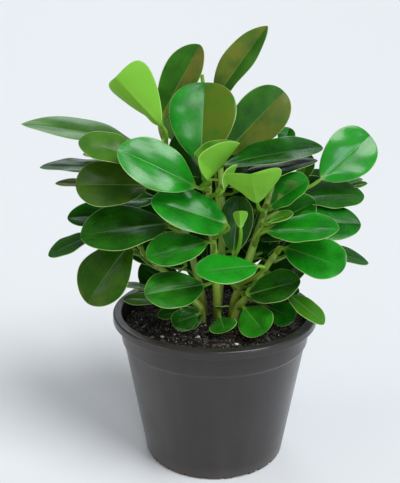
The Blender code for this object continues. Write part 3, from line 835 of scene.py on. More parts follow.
        # Width and thickness: the stalk flares at its foot, and the blade thins towards the tip
        flare = 0.35 * MM * np.exp(-np.maximum(at, 0) / (2.2 * MM))
        stalk_radius = np.interp(at, knots[:stalk], half[:stalk]) + flare
        safe = np.clip(share, 1e-6, 1 - 1e-6)
        outline = np.exp(scale) * safe ** up_power * (1 - safe) ** down_power
        outline[share <= 0] = 0
        reach = np.hypot(stalk_radius * (1 - blade), outline)
        depth = np.interp(at, knots[stalk:-1], thick[stalk:]) * 0.9
        body = smooth(1 - share, -0.02, 0.10)
        depth = depth * body + 0.35 * MM * (1 - body)
        return Stations(at, share, blade, middle, side, up, reach, stalk_radius, depth, cup)

    def columns(self) -> "Columns":
        """The shares of the half width round the leaf, close together at midrib and margins."""
        x = np.linspace(0, 1, self.across_steps + 1)
        halfway = (1 - np.cos(np.pi * x)) / 2
        top_u = np.concatenate([halfway[::-1], -halfway[1:]])
        u = np.concatenate([top_u, top_u[::-1][1:-1]])
        face = np.where(np.arange(len(u)) < len(top_u), 1.0, -1.0)
        face[[0, len(top_u) - 1]] = 0
        return Columns(u, face, len(top_u) - 1)

    @staticmethod
    def stalk_lift(run: "Stations", across: "Columns") -> np.ndarray:
        """Heights over the line round the stalk, with a groove along its upper side."""
        u, face = across.u, across.face
        round_part = np.sqrt(np.clip(1 - u ** 2, 0, 1)) * face
        groove = 1 - 0.4 * np.exp(-(u / 0.35) ** 2)[None, :] * (face[None, :] > 0)
        return run.stalk_radius[:, None] * round_part[None, :] * groove

    def blade_lift(self, run: "Stations", across: "Columns", lean: np.ndarray,
                   rng: np.random.Generator) -> np.ndarray:
        """Heights over the line across the blade.

        Args:
            run: Stations along the leaf.
            across: Columns round it.
            lean: How steeply the halves rise at each station, in radians.
            rng: Source of the leaf's own ripple.

        Returns:
            One height for each station and column.
        """
        a = np.abs(across.u)[None, :]
        sign = np.sign(across.u)[None, :]
        h = run.reach[:, None]
        share = run.share[:, None]
        swell = np.sin(np.pi * np.clip(share, 0, 1))
        calm = np.minimum(1, h / (12 * MM))
        lift = h * a ** 1.5 * np.sin(lean)
        lift = lift + h * self.habit.belly * np.sin(np.pi * np.clip(a, 0, 1) ** 0.9) * swell ** 0.5
        lift = lift - h * self.habit.curl * a ** 5
        phases = rng.uniform(0, 2 * np.pi, 4)
        freq = rng.uniform(1.2, 2.4, 2)
        ripple = np.where(sign > 0, np.sin(2 * np.pi * freq[0] * share + phases[0]),
                          np.sin(2 * np.pi * freq[1] * share + phases[1]))
        lift = lift + self.habit.wave * MM * a ** 3 * ripple * swell * calm
        soft = np.sin(2 * np.pi * (2.1 * share + 0.5 * a * sign) + phases[2]) * np.sin(np.pi * a)
        lift = lift + 0.25 * MM * soft * calm
        off = a * h
        fade = (1 - smooth(share, 0.55, 1.0)) * np.minimum(1, h / (6 * MM))
        above = np.where(across.face[None, :] > 0, self.rib_groove, 0)
        below = np.where(across.face[None, :] < 0, self.rib_keel, 0)
        lift = lift - above * np.exp(-(off / (1.0 * MM)) ** 2) * fade
        lift = lift - below * np.exp(-(off / (1.4 * MM)) ** 2) * fade
        for place in VEIN_SHARES:
            from_vein = (a - place) * h
            lift = lift - self.vein_groove * np.exp(-(from_vein / (1.1 * MM)) ** 2) * swell ** 0.5
        flat_part = np.sqrt(np.clip(1 - np.abs(across.u) ** 4, 0, 1)) * across.face
        return lift + run.depth[:, None] / 2 * flat_part[None, :]

    def mark(self, mesh: bpy.types.Mesh, run: "Stations", across: "Columns") -> None:
        """Keeps what the finish reads: place on the blade, width, the side of the painted warm reflection,
        and the leaf's own tone.
        """
        blade, share = run.blade[:, None], run.share[:, None]
        upper = (across.face + 1) / 2
        place = np.stack(np.broadcast_arrays(across.u[None, :] * blade, share, upper[None, :]), axis=-1)
        place = np.concatenate([place.reshape(-1, 3), [[0, 0, 0.5]], [[1.0, 1.0, 0.5]]])
        width = run.reach[:, None] / MM
        size = np.stack([width, blade, np.full_like(width, self.habit.warm_reflection_side)], axis=-1)
        size = np.repeat(size[:, 0], len(across.u), axis=0)
        size = np.concatenate([size, [[1.0, 0, 0]], [[0.01, 1, 1]]])
        habit = self.habit
        tone = np.tile([habit.tone, habit.warmth, habit.shine], (len(place), 1))
        store(mesh, "blade_place", place)
        store(mesh, "blade_size", size)
        store(mesh, "leaf_tone", tone)

    def unwrap(self, mesh: bpy.types.Mesh, at: np.ndarray, reach: np.ndarray, u: np.ndarray,
               top_faces: int) -> None:
        """Lays the upper side on the left half of the UV map and the underside on the right."""
        around = len(u)
        count = len(at)
        v = (at - at[0]) / (at[-1] - at[0]) * 0.94 + 0.03
        wide = reach / reach.max() * 0.22
        layer = mesh.uv_layers.new(name="UVMap")
        corners = np.zeros(len(mesh.loops), np.int32)
        mesh.loops.foreach_get("vertex_index", corners)
        uv = np.zeros((len(corners), 2))
        for polygon in mesh.polygons:
            loops = list(polygon.loop_indices)
            ids = corners[loops]
            real = ids[ids < count * around]
            columns = real % around
            low = columns.max() > top_faces or (columns.min() == 0 and columns.max() == around - 1)
            for loop, vert in zip(loops, ids):
                if vert >= count * around:
                    row = 0 if vert == count * around else count - 1
                    uv[loop] = (0.75 if low else 0.25, v[row] + (0.01 if row else -0.01))
                else:
                    row, column = divmod(int(vert), around)
                    uv[loop] = ((0.75 if low else 0.25) + wide[row] * u[column], v[row])
        layer.data.foreach_set("uv", uv.ravel())


# ---- Stems ------------------------------------------------------------------------------------

@dataclass
class Stem:
    """A rooted stem: a tapering fleshy tube with a swollen ring at each joint."""

    name: str
    rings: list[np.ndarray]
    joints: list[float] = field(default_factory=list)
    pitch: float = 1.1 * MM
    around: int = 20
    sink: float = 5.0 * MM
    swell: float = 0.45 * MM
    swell_run: float = 1.6 * MM

    @classmethod
    def from_node(cls, node: bpy.types.Object) -> "Stem":
        """Reads a stem's rings from its CAD node, from the foot up."""
        mesh = merged(node)
        foot = sorted(mesh.verts, key=lambda v: v.co.z)[:8]
        rings = rings_from(mesh, foot, set())
        mesh.free()
        return cls(node.name, rings)

    def line(self) -> tuple[np.ndarray, np.ndarray]:
        """The centre line's points and the distance along it."""
        centres = np.array([r.mean(axis=0) for r in self.rings])
        return centres, run_of(centres)

    def nearest(self, point: np.ndarray) -> tuple[float, float]:
        """How far a point is from the centre line, and how far along it."""
        centres, knots = self.line()
        at = np.linspace(0, knots[-1], 200)
        off = np.linalg.norm(spline(knots, centres, at) - point, axis=1)
        return float(off.min()), float(at[off.argmin()])

    def setting(self, point: np.ndarray) -> tuple[np.ndarray, np.ndarray, float]:
        """Where a stalk to a point leaves the stem, the way out to it, and the stem's radius there."""
        centres, knots = self.line()
        along = max(self.nearest(point)[1] - 0.30 * self.nearest(point)[0], 6 * MM)
        foot = spline(knots, centres, np.array([along]))[0]
        ring = self.rings[int(np.clip(np.searchsorted(knots, along), 0, len(self.rings) - 1))]
        return foot, unit(point - foot), float(np.linalg.norm(ring - ring.mean(axis=0), axis=1).mean())

    def build(self, material: bpy.types.Material) -> bpy.types.Object:
        """Makes the piece and lets it stand for its CAD node."""
        centres, knots = self.line()
        radii = np.array([np.linalg.norm(r - r.mean(axis=0), axis=1).mean() for r in self.rings])
        at = np.linspace(-self.sink, knots[-1], int((knots[-1] + self.sink) / self.pitch))
        middle = spline(knots, centres, at)
        eps = 0.1 * MM
        ahead = unit(spline(knots, centres, at + eps) - spline(knots, centres, at - eps))
        first = unit(np.cross(ahead[0], [0.0, 1.0, 0.0]))
        sides = [first]
        for t in ahead[1:]:
            sides.append(unit(sides[-1] - np.dot(sides[-1], t) * t))
        side = np.array(sides)
        other = np.cross(ahead, side)
        radius = np.interp(at, knots, radii)
        joint = np.zeros_like(at)
        for place in self.joints:
            joint += np.exp(-((at - place) / self.swell_run) ** 2)
        joint = np.minimum(joint, 1)
        radius = radius + self.swell * joint
        turns = np.linspace(0, 2 * np.pi, self.around, endpoint=False)
        lobes = 1 + 0.035 * np.cos(3 * turns[None, :] + at[:, None] / (9 * MM))
        reach = (radius[:, None] * lobes)[..., None]
        grid = middle[:, None] + reach * (np.cos(turns)[None, :, None] * side[:, None]
                                          + np.sin(turns)[None, :, None] * other[:, None])
        mesh = lofted(self.name, grid, centres[-1] + 0.35 * radii[-2] * ahead[-1])
        share = np.clip(at / knots[-1], 0, 1)
        parts = np.broadcast_arrays(share[:, None], joint[:, None], turns[None, :])
        place = np.stack(parts, axis=-1).reshape(-1, 3)
        store(mesh, "stem_place", np.concatenate([place, [[0, 0, 0]], [[1, 0, 0]]]))
        return placed(self.name + "_skin", mesh, material, Slot.STEM, self.name)


# ---- Pot --------------------------------------------------------------------------------------

@dataclass
class Pot:
    """Round nursery pot: a turned section with a rolled lip, stacking step, notches and drains."""

    node: str
    wall: float = 1.5 * MM
    floor: float = 1.8 * MM
    lip_width: float = 6.4 * MM
    lip_edge: float = 0.6 * MM
    lip_drop: float = 6.2 * MM
    lip_round: float = 1.7 * MM
    collar_height: float = 21.0 * MM
    collar_draft: float = 1.2 * MM
    step_width: float = 1.6 * MM
    step_drop: float = 1.6 * MM
    base_radius: float = 52.5 * MM
    corner: float = 1.4 * MM
    foot_depth: float = 2.4 * MM
    foot_ring: float = 6.5 * MM
    foot_disc: float = 15.0 * MM
    foot_slope: float = 2.5 * MM
    notches: int = 24
    notch_width: float = 3.6 * MM
    notch_height: float = 2.0 * MM
    wide_notches: int = 4
    wide_notch_width: float = 13.0 * MM
    drains: int = 8
    drain_radius: float = 4.5 * MM
    turn_steps: int = 180

    def section(self) -> list[tuple[float, float]]:
        """The pot's section as (radius, height), from the inner floor up, over the lip and down."""
        low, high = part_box(self.node)
        rim, top = high.x, high.z
        mouth = rim - self.lip_width
        step = top - self.collar_height
        shelf = step - self.step_drop
        collar = mouth - self.collar_draft
        wall_top = collar - self.step_width
        inside = self.base_radius - self.wall
        bed = self.foot_depth + self.floor
        foot = self.base_radius - self.corner
        foot_in = foot - self.foot_ring
        half = self.wall / 2
        skirt = top - self.lip_drop
        share = (bed - self.corner) / (shelf - self.corner)
        bed_radius = inside + share * (wall_top - inside)
        return [
            (0.0, bed),
            (bed_radius - 3 * MM, bed),
            *self.arc(bed_radius - 1.6 * MM, bed + 1.4 * MM, 1.4 * MM, -90, 0, 4),
            *self.rounded((wall_top, shelf), (inside, self.corner), (collar, step)),
            *self.rounded((collar, step), (wall_top, shelf), (mouth, top)),
            *self.arc(mouth + self.lip_edge, top - self.lip_edge, self.lip_edge, 180, 90, 4),
            (mouth + 2.0 * MM, top - 0.04 * MM),
            (mouth + 3.2 * MM, top - 0.04 * MM),
            *self.arc(rim - self.lip_round, top - self.lip_round, self.lip_round, 90, 0, 7),
            (rim - 0.05 * MM, top - 3.4 * MM),
            *self.arc(rim - half, skirt + half, half, 0, -180, 8),
            (rim - self.wall, top - self.wall - 1.0 * MM),
            *self.arc(rim - self.wall - 1.0 * MM, top - self.wall - 1.0 * MM, 1.0 * MM, 0, 90, 3),
            *self.arc(mouth + self.wall + 0.7 * MM, top - self.wall - 0.7 * MM, 0.7 * MM, 90, 180, 3),
            *self.rounded((collar + self.wall, step), (mouth + self.wall, top),
                          (wall_top + self.wall, shelf)),
            *self.rounded((wall_top + self.wall, shelf), (collar + self.wall, step),
                          (self.base_radius, self.corner)),
            *self.arc(foot, self.corner, self.corner, 0, -90, 6),
            (foot_in, 0.0),
            (foot_in - self.foot_slope, self.foot_depth),
            (self.foot_disc + self.foot_slope, self.foot_depth),
            (self.foot_disc, 0.0),
            (0.0, 0.0),
        ]

    @staticmethod
    def arc(x: float, z: float, radius: float, start: float, end: float,
            steps: int) -> list[tuple[float, float]]:
        """Points round part of a circle of the section, between two angles in degrees."""
        angles = np.radians(np.linspace(start, end, steps + 1))
        return [(x + radius * math.cos(a), z + radius * math.sin(a)) for a in angles]

    @staticmethod
    def rounded(corner: tuple[float, float], before: tuple[float, float],
                after: tuple[float, float], radius: float = 1.0 * MM) -> list[tuple[float, float]]:
        """Points that round off a corner of the section between its neighbours."""
        c = np.array(corner)
        near = c + radius * unit(np.array(before) - c)
        far = c + radius * unit(np.array(after) - c)
        t = np.linspace(0, 1, 4)[:, None]
        points = (1 - t) ** 2 * near + 2 * (1 - t) * t * c + t ** 2 * far
        return [(float(x), float(z)) for x, z in points]

    def tree(self, points: int, material: bpy.types.Material) -> Growth:
        """The tree that turns a section round the axis and cuts its notches and drains.

        Args:
            points: How many points the section has.
            material: The pot's finish.

        Returns:
            The tree, with its values.
        """
        inner = self.base_radius - self.corner - self.foot_ring
        tree = Growth(
            "turned_pot", Turn_Steps=("Int", self.turn_steps), Section_Points=("Int", points),
            Notches=("Int", self.notches), Notch_Width=("Float", self.notch_width),
            Notch_Height=("Float", self.notch_height), Wide_Notches=("Int", self.wide_notches),
            Wide_Notch_Width=("Float", self.wide_notch_width), Foot_Radius=("Float", self.base_radius),
            Drains=("Int", self.drains), Drain_Radius=("Float", self.drain_radius),
            Drain_Ring=("Float", (self.foot_disc + inner) / 2), Finish=("Material", material))
        steps, count = tree.given("Turn Steps"), tree.given("Section Points")
        columns = tree.maths("ADD", steps, 1.0)
        grid = tree.node("GeometryNodeMeshGrid", {"Vertices X": columns, "Vertices Y": count}).outputs[0]
        index = tree.node("GeometryNodeInputIndex").outputs[0]
        row = tree.maths("MODULO", index, count)
        column = tree.maths("FLOOR", tree.maths("DIVIDE", index, count))
        angle = tree.maths("MULTIPLY", tree.maths("DIVIDE", column, steps), 2 * math.pi)
        place = tree.node("GeometryNodeInputPosition").outputs[0]
        sample = tree.node("GeometryNodeSampleIndex", data_type="FLOAT_VECTOR", domain="POINT")
        tree.feed(sample.inputs["Geometry"], tree.given("Geometry"))
        tree.feed(sample.inputs["Value"], place)
        tree.feed(sample.inputs["Index"], row)
        radius, _, height = tree.apart(sample.outputs[0])
        spot = tree.together(tree.maths("MULTIPLY", radius, tree.maths("COSINE", angle)),
                             tree.maths("MULTIPLY", radius, tree.maths("SINE", angle)), height)
        turned = tree.node("GeometryNodeSetPosition", {"Geometry": grid, "Position": spot}).outputs[0]
        closed = tree.node("GeometryNodeMergeByDistance", {"Geometry": turned, "Distance": 1e-6}).outputs[0]
        cutters = [self.notch_ring(tree, "Notches", "Notch Width", 0.5),
                   self.notch_ring(tree, "Wide Notches", "Wide Notch Width", 1.5),
                   self.drain_ring(tree)]
        cut = tree.node("GeometryNodeMeshBoolean", operation="DIFFERENCE", solver="EXACT")
        tree.feed(cut.inputs["Mesh 1"], closed)
        for cutter in cutters:
            tree.feed(cut.inputs["Mesh 2"], cutter)
        tree.close(cut.outputs["Mesh"], tree.given("Finish"))
        return tree

    def notch_ring(self, tree: Growth, count: str, width: str, offset: float) -> Socket:
        """Blocks round the foot that cut its notches, turned by a share of the notch spacing."""
        ring = tree.node("GeometryNodeMeshCircle", {"Vertices": tree.given(count),
                                                   "Radius": tree.given("Foot Radius")})
        tall = tree.maths("MULTIPLY", tree.given("Notch Height"), 2.0)
        size = tree.together(18 * MM, tree.given(width), tall)
        block = tree.node("GeometryNodeMeshCube", {"Size": size})
        return self.strewn(tree, ring, block, offset * 2 * math.pi / self.notches)

    def drain_ring(self, tree: Growth) -> Socket:
        """Rods that cut the drain holes through the raised floor."""
        ring = tree.node("GeometryNodeMeshCircle", {"Vertices": tree.given("Drains"),
                                                   "Radius": tree.given("Drain Ring")})
        rod = tree.node("GeometryNodeMeshCylinder", {"Vertices": 32, "Radius": tree.given("Drain Radius"),
                                                    "Depth": 20 * MM})
        return self.strewn(tree, ring, rod, 0.0)

    @staticmethod
    def strewn(tree: Growth, ring: bpy.types.Node, shape: bpy.types.Node, turn: float) -> Socket:
        """Copies of a shape on a ring's points, each turned to face outwards, then turned together."""
        place = tree.node("GeometryNodeInputPosition").outputs[0]
        x, y, _ = tree.apart(place)
        way = tree.together(0.0, 0.0, tree.maths("ARCTAN2", y, x))
        rotation = tree.node("FunctionNodeEulerToRotation", {0: way}).outputs[0]
        copies = tree.node("GeometryNodeInstanceOnPoints", {
            "Points": ring.outputs["Mesh"], "Instance": shape.outputs["Mesh"], "Rotation": rotation})
        real = tree.node("GeometryNodeRealizeInstances", {0: copies.outputs[0]})
        whole = {"Geometry": real.outputs[0], "Rotation": (0.0, 0.0, turn)}
        return tree.node("GeometryNodeTransform", whole).outputs[0]

    def build(self, material: bpy.types.Material) -> bpy.types.Object:
        """Makes the piece and lets it stand for its CAD node."""
        points = [(x, 0.0, z) for x, z in self.section()]
        mesh = bpy.data.meshes.new("pot_section")
        mesh.from_pydata(points, [(i, i + 1) for i in range(len(points) - 1)], [])
        piece = self.tree(len(points), material).grow("pot_shell", mesh)
        righted_out(piece.data)
        piece.data.shade_smooth()
        piece.data.set_sharp_from_angle(angle=math.radians(38))
        return settled(piece, Slot.POT, self.node)


def righted_out(mesh: bpy.types.Mesh) -> None:
    """Makes the faces of a closed mesh point outwards, with its doubles merged first."""
    work = bmesh.new()
    work.from_mesh(mesh)
    bmesh.ops.remove_doubles(work, verts=work.verts, dist=1e-7)
    bmesh.ops.recalc_face_normals(work, faces=work.faces)
    if work.calc_volume(signed=True) < 0:
        bmesh.ops.reverse_faces(work, faces=work.faces)
    work.to_mesh(mesh)
    work.free()


# ---- Potting mix ------------------------------------------------------------------------------

@dataclass(frozen=True)
class Crumb:
    """One kind of loose bit on the mix: its size, how many lie there and its proportions."""

    name: str
    earth: Earth
    size: float
    spread: float
    per_square_metre: float
    shape: Place
    lumps: float
    seed: int
    lift: float = 0.15
    rough_ball: bool = False
    inset: float = 0.0
    clumping: float = 0.0


PEAT = Earth("peat_crumb", (0.0085, 0.0065, 0.0055), (0.100, 0.082, 0.068), 0.92, 0.8 * MM, 0.00025)
BARK = Earth("bark_bit", (0.030, 0.020, 0.013), (0.240, 0.185, 0.130), 0.85, 1.2 * MM, 0.0003)
PERLITE = Earth("perlite_bead", (0.42, 0.40, 0.37), (0.86, 0.85, 0.82), 0.8, 0.6 * MM, 0.0003)
GRIT = Earth("grit", (0.090, 0.085, 0.078), (0.48, 0.46, 0.42), 0.8, 0.7 * MM, 0.0002)

CRUMBS = (
    Crumb("peat_fine", PEAT, 1.05 * MM, 0.5, 230000, (1.0, 1.0, 0.8), 0.35, 3),
    Crumb("peat_lumps", PEAT, 1.7 * MM, 0.5, 60000, (1.1, 1.0, 0.75), 0.5, 7, rough_ball=True),
    Crumb("peat_clods", PEAT, 3.2 * MM, 0.35, 4500, (1.15, 1.0, 0.7), 0.5, 11,
          rough_ball=True, inset=3 * MM),
    Crumb("bark_bits", BARK, 2.6 * MM, 0.6, 6000, (1.9, 0.7, 0.35), 0.3, 13, lift=0.3),
    Crumb("fibres", BARK, 1.0 * MM, 0.5, 36000, (5.5, 0.28, 0.25), 0.2, 17, lift=0.5),
    Crumb("grit", GRIT, 0.75 * MM, 0.5, 75000, (1.0, 0.9, 0.8), 0.3, 19, lift=0.35),
    Crumb("perlite_small", PERLITE, 0.75 * MM, 0.5, 26000, (1.0, 1.0, 0.85), 0.3, 23,
          lift=0.5, clumping=0.6),
    Crumb("perlite", PERLITE, 2.0 * MM, 0.45, 2700, (1.0, 0.95, 0.85), 0.35, 29, lift=0.45,
          rough_ball=True, inset=2 * MM, clumping=0.6),
)


@dataclass
class PottingMix:
    """Dark potting mix: an uneven bed in the pot, strewn with crumbs, bark bits and perlite."""

    node: bpy.types.Object
    rows: int = 46
    columns: int = 160
    unevenness: float = 1.1 * MM
    edge_drop: float = 0.8 * MM

    def surface(self) -> BVHTree:
        """The CAD node's surface, for reading heights from."""
        mesh = merged(self.node)
        tree = BVHTree.FromBMesh(mesh)
        mesh.free()
        return tree

    def bed(self) -> bpy.types.Mesh:
        """The closed bed of mix: its own uneven top, and the CAD solid's sides and bottom."""
        mesh = merged(self.node)
        apex = max(mesh.verts, key=lambda v: (v.co.z if len(v.link_edges) > 20 else -1))
        rings = rings_from(mesh, [e.other_vert(apex) for e in apex.link_edges], {apex})
        profile = [(float(np.hypot(r[:, 0], r[:, 1]).mean()), float(r[:, 2].mean())) for r in rings]
        mesh.free()
        edge = max(range(len(profile)), key=lambda i: (round(profile[i][0], 5), profile[i][1]))
        sides = [p for p in profile[edge + 1:] if p[0] > 20 * MM]
        radius = profile[edge][0]
        tree = self.surface()
        turns = np.linspace(0, 2 * np.pi, self.columns, endpoint=False)
        rings_out = []
        for r, z in reversed(sides):
            rings_out.append([(r * math.cos(a), r * math.sin(a), z) for a in turns])
        for share in np.linspace(1, 0, self.rows, endpoint=False):
            ring = []
            for a in turns:
                x, y = radius * share * math.cos(a), radius * share * math.sin(a)
                ring.append((x, y, self.height(tree, x * 0.985, y * 0.985) + self.rough(x, y)
                             - self.edge_drop * float(smooth(share, 0.93, 1.0))))
            rings_out.append(ring)
        grid = np.array(rings_out)
        return lofted("mix_bed", grid, np.array([0, 0, self.height(tree, 0, 0)]))

    @staticmethod
    def height(tree: BVHTree, x: float, y: float) -> float:
        """Height of the CAD surface at a place."""
        hit = tree.ray_cast(Vector((x, y, 0.5)), Vector((0, 0, -1)))[0]
        return hit.z

    def rough(self, x: float, y: float) -> float:
        """Unevenness of the bed at a place."""
        from_axis = math.hypot(x, y)
        hills = (math.sin(95 * x + 1.3) * math.cos(120 * y + 0.4) + 0.6 * math.sin(210 * x - 180 * y)
                 + 0.5 * math.cos(330 * y + 150 * x + 1.0))
        return self.unevenness * 0.4 * hills * (1 - 0.5 * float(smooth(from_axis, 0.05, 0.067)))

    def top(self, bed: bpy.types.Mesh, inset: float) -> bpy.types.Mesh:
        """The upper faces of the bed, as far out as an inset from its edge."""
        work = bmesh.new()
        work.from_mesh(bed)
        reach = max(math.hypot(v.co.x, v.co.y) for v in work.verts) - inset - 0.4 * MM
        low = [f for f in work.faces if f.normal.z < 0.3
               or any(math.hypot(v.co.x, v.co.y) > reach for v in f.verts)]
        bmesh.ops.delete(work, geom=low, context="FACES")
        mesh = bpy.data.meshes.new("mix_top")
        work.to_mesh(mesh)
        work.free()
        return mesh

    @staticmethod
    def tree(crumb: Crumb, material: bpy.types.Material) -> Growth:
        """The tree that strews one kind of crumb over a surface.

        Args:
            crumb: The kind of crumb.
            material: Its finish.

        Returns:
            The tree, with its values.
        """
        tree = Growth(
            "strewn_" + crumb.name, Density=("Float", crumb.per_square_metre),
            Size=("Float", crumb.size), Spread=("Float", crumb.spread), Lumps=("Float", crumb.lumps),
            Lift=("Float", crumb.lift), Clumping=("Float", crumb.clumping), Seed=("Int", crumb.seed),
            Finish=("Material", material))
        seed = tree.given("Seed")
        place = tree.node("GeometryNodeInputPosition").outputs[0]
        patches = tree.node("ShaderNodeTexNoise", {"Vector": place, "Scale": 55.0, "Detail": 1.0}).outputs[0]
        patches = tree.maths("MULTIPLY", tree.band(patches, 0.42, 0.62), 2.0)
        keep = tree.maths("MULTIPLY", tree.maths("SUBTRACT", patches, 1.0), tree.given("Clumping"))
        density = tree.maths("MULTIPLY", tree.given("Density"), tree.maths("ADD", keep, 1.0))
        points = tree.node("GeometryNodeDistributePointsOnFaces", {
            "Mesh": tree.given("Geometry"), "Density": density, "Seed": seed})
        cuts = 2 if crumb.rough_ball else 1
        ball = tree.node("GeometryNodeMeshIcoSphere", {"Radius": 0.5, "Subdivisions": cuts})
        spin = tree.node("FunctionNodeRandomValue", data_type="FLOAT_VECTOR")
        tree.feed(spin.inputs[0], (-0.5, -0.5, 0.0))
        tree.feed(spin.inputs[1], (0.5, 0.5, 2 * math.pi))
        tree.feed(spin.inputs["Seed"], seed)
        rotation = tree.node("FunctionNodeEulerToRotation", {0: spin.outputs[0]}).outputs[0]
        least = tree.maths("SUBTRACT", 1.0, tree.given("Spread"))
        most = tree.maths("ADD", 1.0, tree.given("Spread"))
        factor = tree.node("FunctionNodeRandomValue", data_type="FLOAT")
        tree.feed(factor.inputs[2], least)
        tree.feed(factor.inputs[3], most)
        tree.feed(factor.inputs["Seed"], seed)
        size = tree.maths("MULTIPLY", tree.given("Size"), factor.outputs[1])
        scale = tree.vector("MULTIPLY", tree.together(size, size, size), crumb.shape)
        copies = tree.node("GeometryNodeInstanceOnPoints", {
            "Points": points.outputs["Points"], "Instance": ball.outputs["Mesh"],
            "Rotation": rotation, "Scale": scale}).outputs[0]
        shade = tree.node("FunctionNodeRandomValue", data_type="FLOAT")
        tree.feed(shade.inputs["Seed"], tree.maths("ADD", seed, 5.0))
        marked = tree.node("GeometryNodeStoreNamedAttribute", data_type="FLOAT_VECTOR", domain="INSTANCE")
        tree.feed(marked.inputs["Geometry"], copies)
        tree.feed(marked.inputs["Name"], "shade")
        tree.feed(marked.inputs["Value"], tree.together(*[shade.outputs[1]] * 3))
        real = tree.node("GeometryNodeRealizeInstances", {0: marked.outputs[0]}).outputs[0]
        fineness = tree.maths("DIVIDE", 1.1, tree.given("Size"))
        lumpy = tree.node("ShaderNodeTexNoise", {"Vector": place, "Scale": fineness, "Detail": 1.0})
        push = tree.vector("SUBTRACT", lumpy.outputs["Color"], (0.5, 0.5, 0.5))
        amount = tree.maths("MULTIPLY", tree.given("Size"), tree.maths("MULTIPLY", tree.given("Lumps"), 2.2))
        push = tree.vector("MULTIPLY", push, tree.together(amount, amount, amount))
        rise = tree.together(0.0, 0.0, tree.maths("MULTIPLY", tree.given("Size"), tree.given("Lift")))
        shift = tree.vector("ADD", push, rise)
        moved = tree.node("GeometryNodeSetPosition", {"Geometry": real, "Offset": shift})
        tree.close(moved.outputs[0], tree.given("Finish"))
        return tree

    def build(self) -> list[bpy.types.Object]:
        """Makes the bed, which stands for the CAD node, and everything strewn on it."""
        materials: dict[str, bpy.types.Material] = {}
        bed = self.bed()
        store(bed, "shade", np.full((len(bed.vertices), 3), 0.15))
        materials[PEAT.name] = PEAT.make()
        pieces = [placed("mix_bed", bed, materials[PEAT.name], Slot.MIX, self.node.name)]
        for crumb in CRUMBS:
            earth = crumb.earth
            if earth.name not in materials:
                materials[earth.name] = earth.make()
            piece = self.tree(crumb, materials[earth.name]).grow(crumb.name, self.top(bed, crumb.inset))
            piece.data.shade_smooth()
            pieces.append(settled(piece, Slot.MIX))
        return pieces


# ---- Plant ------------------------------------------------------------------------------------

# warm_reflection_side picks the half of a blade that takes a painted warm reflection.
HABITS = {
    "leaf_top_right": Habit(tone=0.2, warmth=0.35, shine=0.3, warm_reflection_side=1),
    "leaf_top_middle": Habit(tone=0.0, warmth=0.40, shine=0.1, warm_reflection_side=-1),
    "leaf_young_trumpet": Habit(tone=0.8, warmth=0.55, belly=0.0, wave=0.3),
    "leaf_centre_upright": Habit(tone=0.2, warmth=0.60, shine=0.55, warm_reflection_side=-1),
    "leaf_upper_right": Habit(tone=0.0, warmth=0.30, shine=0.2, warm_reflection_side=-1),
    "leaf_front_glossy": Habit(tone=0.35, shine=1.0),
    "leaf_young_cup": Habit(tone=-0.4, warmth=0.35, warm_reflection_side=-1, belly=0.0, wave=0.3),
    "leaf_young_fan": Habit(tone=0.0, warmth=0.30, belly=0.0, wave=0.3),
    "leaf_young_rolled": Habit(tone=-0.8, belly=0.0, wave=0.2),
    "leaf_front_bud": Habit(tone=-0.4, belly=0.0, wave=0.2),
    "leaf_right_bud": Habit(tone=-0.9, warmth=0.5, belly=0.0, wave=0.3),
    "leaf_rim_right": Habit(tone=-0.8, wave=0.6, shine=0.3),
    "leaf_right_shelf": Habit(tone=-0.1, shine=0.3),
    "leaf_right_under": Habit(tone=-0.5, shine=0.2),
    "leaf_right_far": Habit(tone=0.5, shine=1.0),
    "leaf_right_curled": Habit(tone=0.3, shine=1.0),
    "leaf_left_big": Habit(tone=-0.2, warmth=0.15, shine=0.2),
    "leaf_left_olive": Habit(tone=-0.4, warmth=0.20, shine=0.1),
    "leaf_left_top": Habit(tone=0.3, warmth=0.10, shine=0.4),
    "leaf_left_striped": Habit(tone=0.4, warmth=0.15, shine=0.4),
    "leaf_below_glossy": Habit(tone=0.3, shine=0.5),
    "leaf_left_drooping": Habit(tone=-0.7, warmth=0.35, shine=0.2),
    "leaf_left_inner": Habit(tone=0.0, warmth=0.1, shine=0.3),
    "leaf_right_lower": Habit(tone=0.2, shine=0.4),
    "leaf_right_front": Habit(tone=0.2, shine=0.4),
    "leaf_right_middle": Habit(tone=-0.2, shine=0.3),
    "leaf_front_middle": Habit(tone=0.35, shine=0.2),
}


DIM = Habit(tone=-0.5, warmth=0.05, shine=0.1)
SOFT = Habit(tone=-0.1, warmth=0.1, shine=0.3)
UPRIGHT = (0.0, -0.9, 0.4)
FLAT = (0.0, -0.45, 0.9)

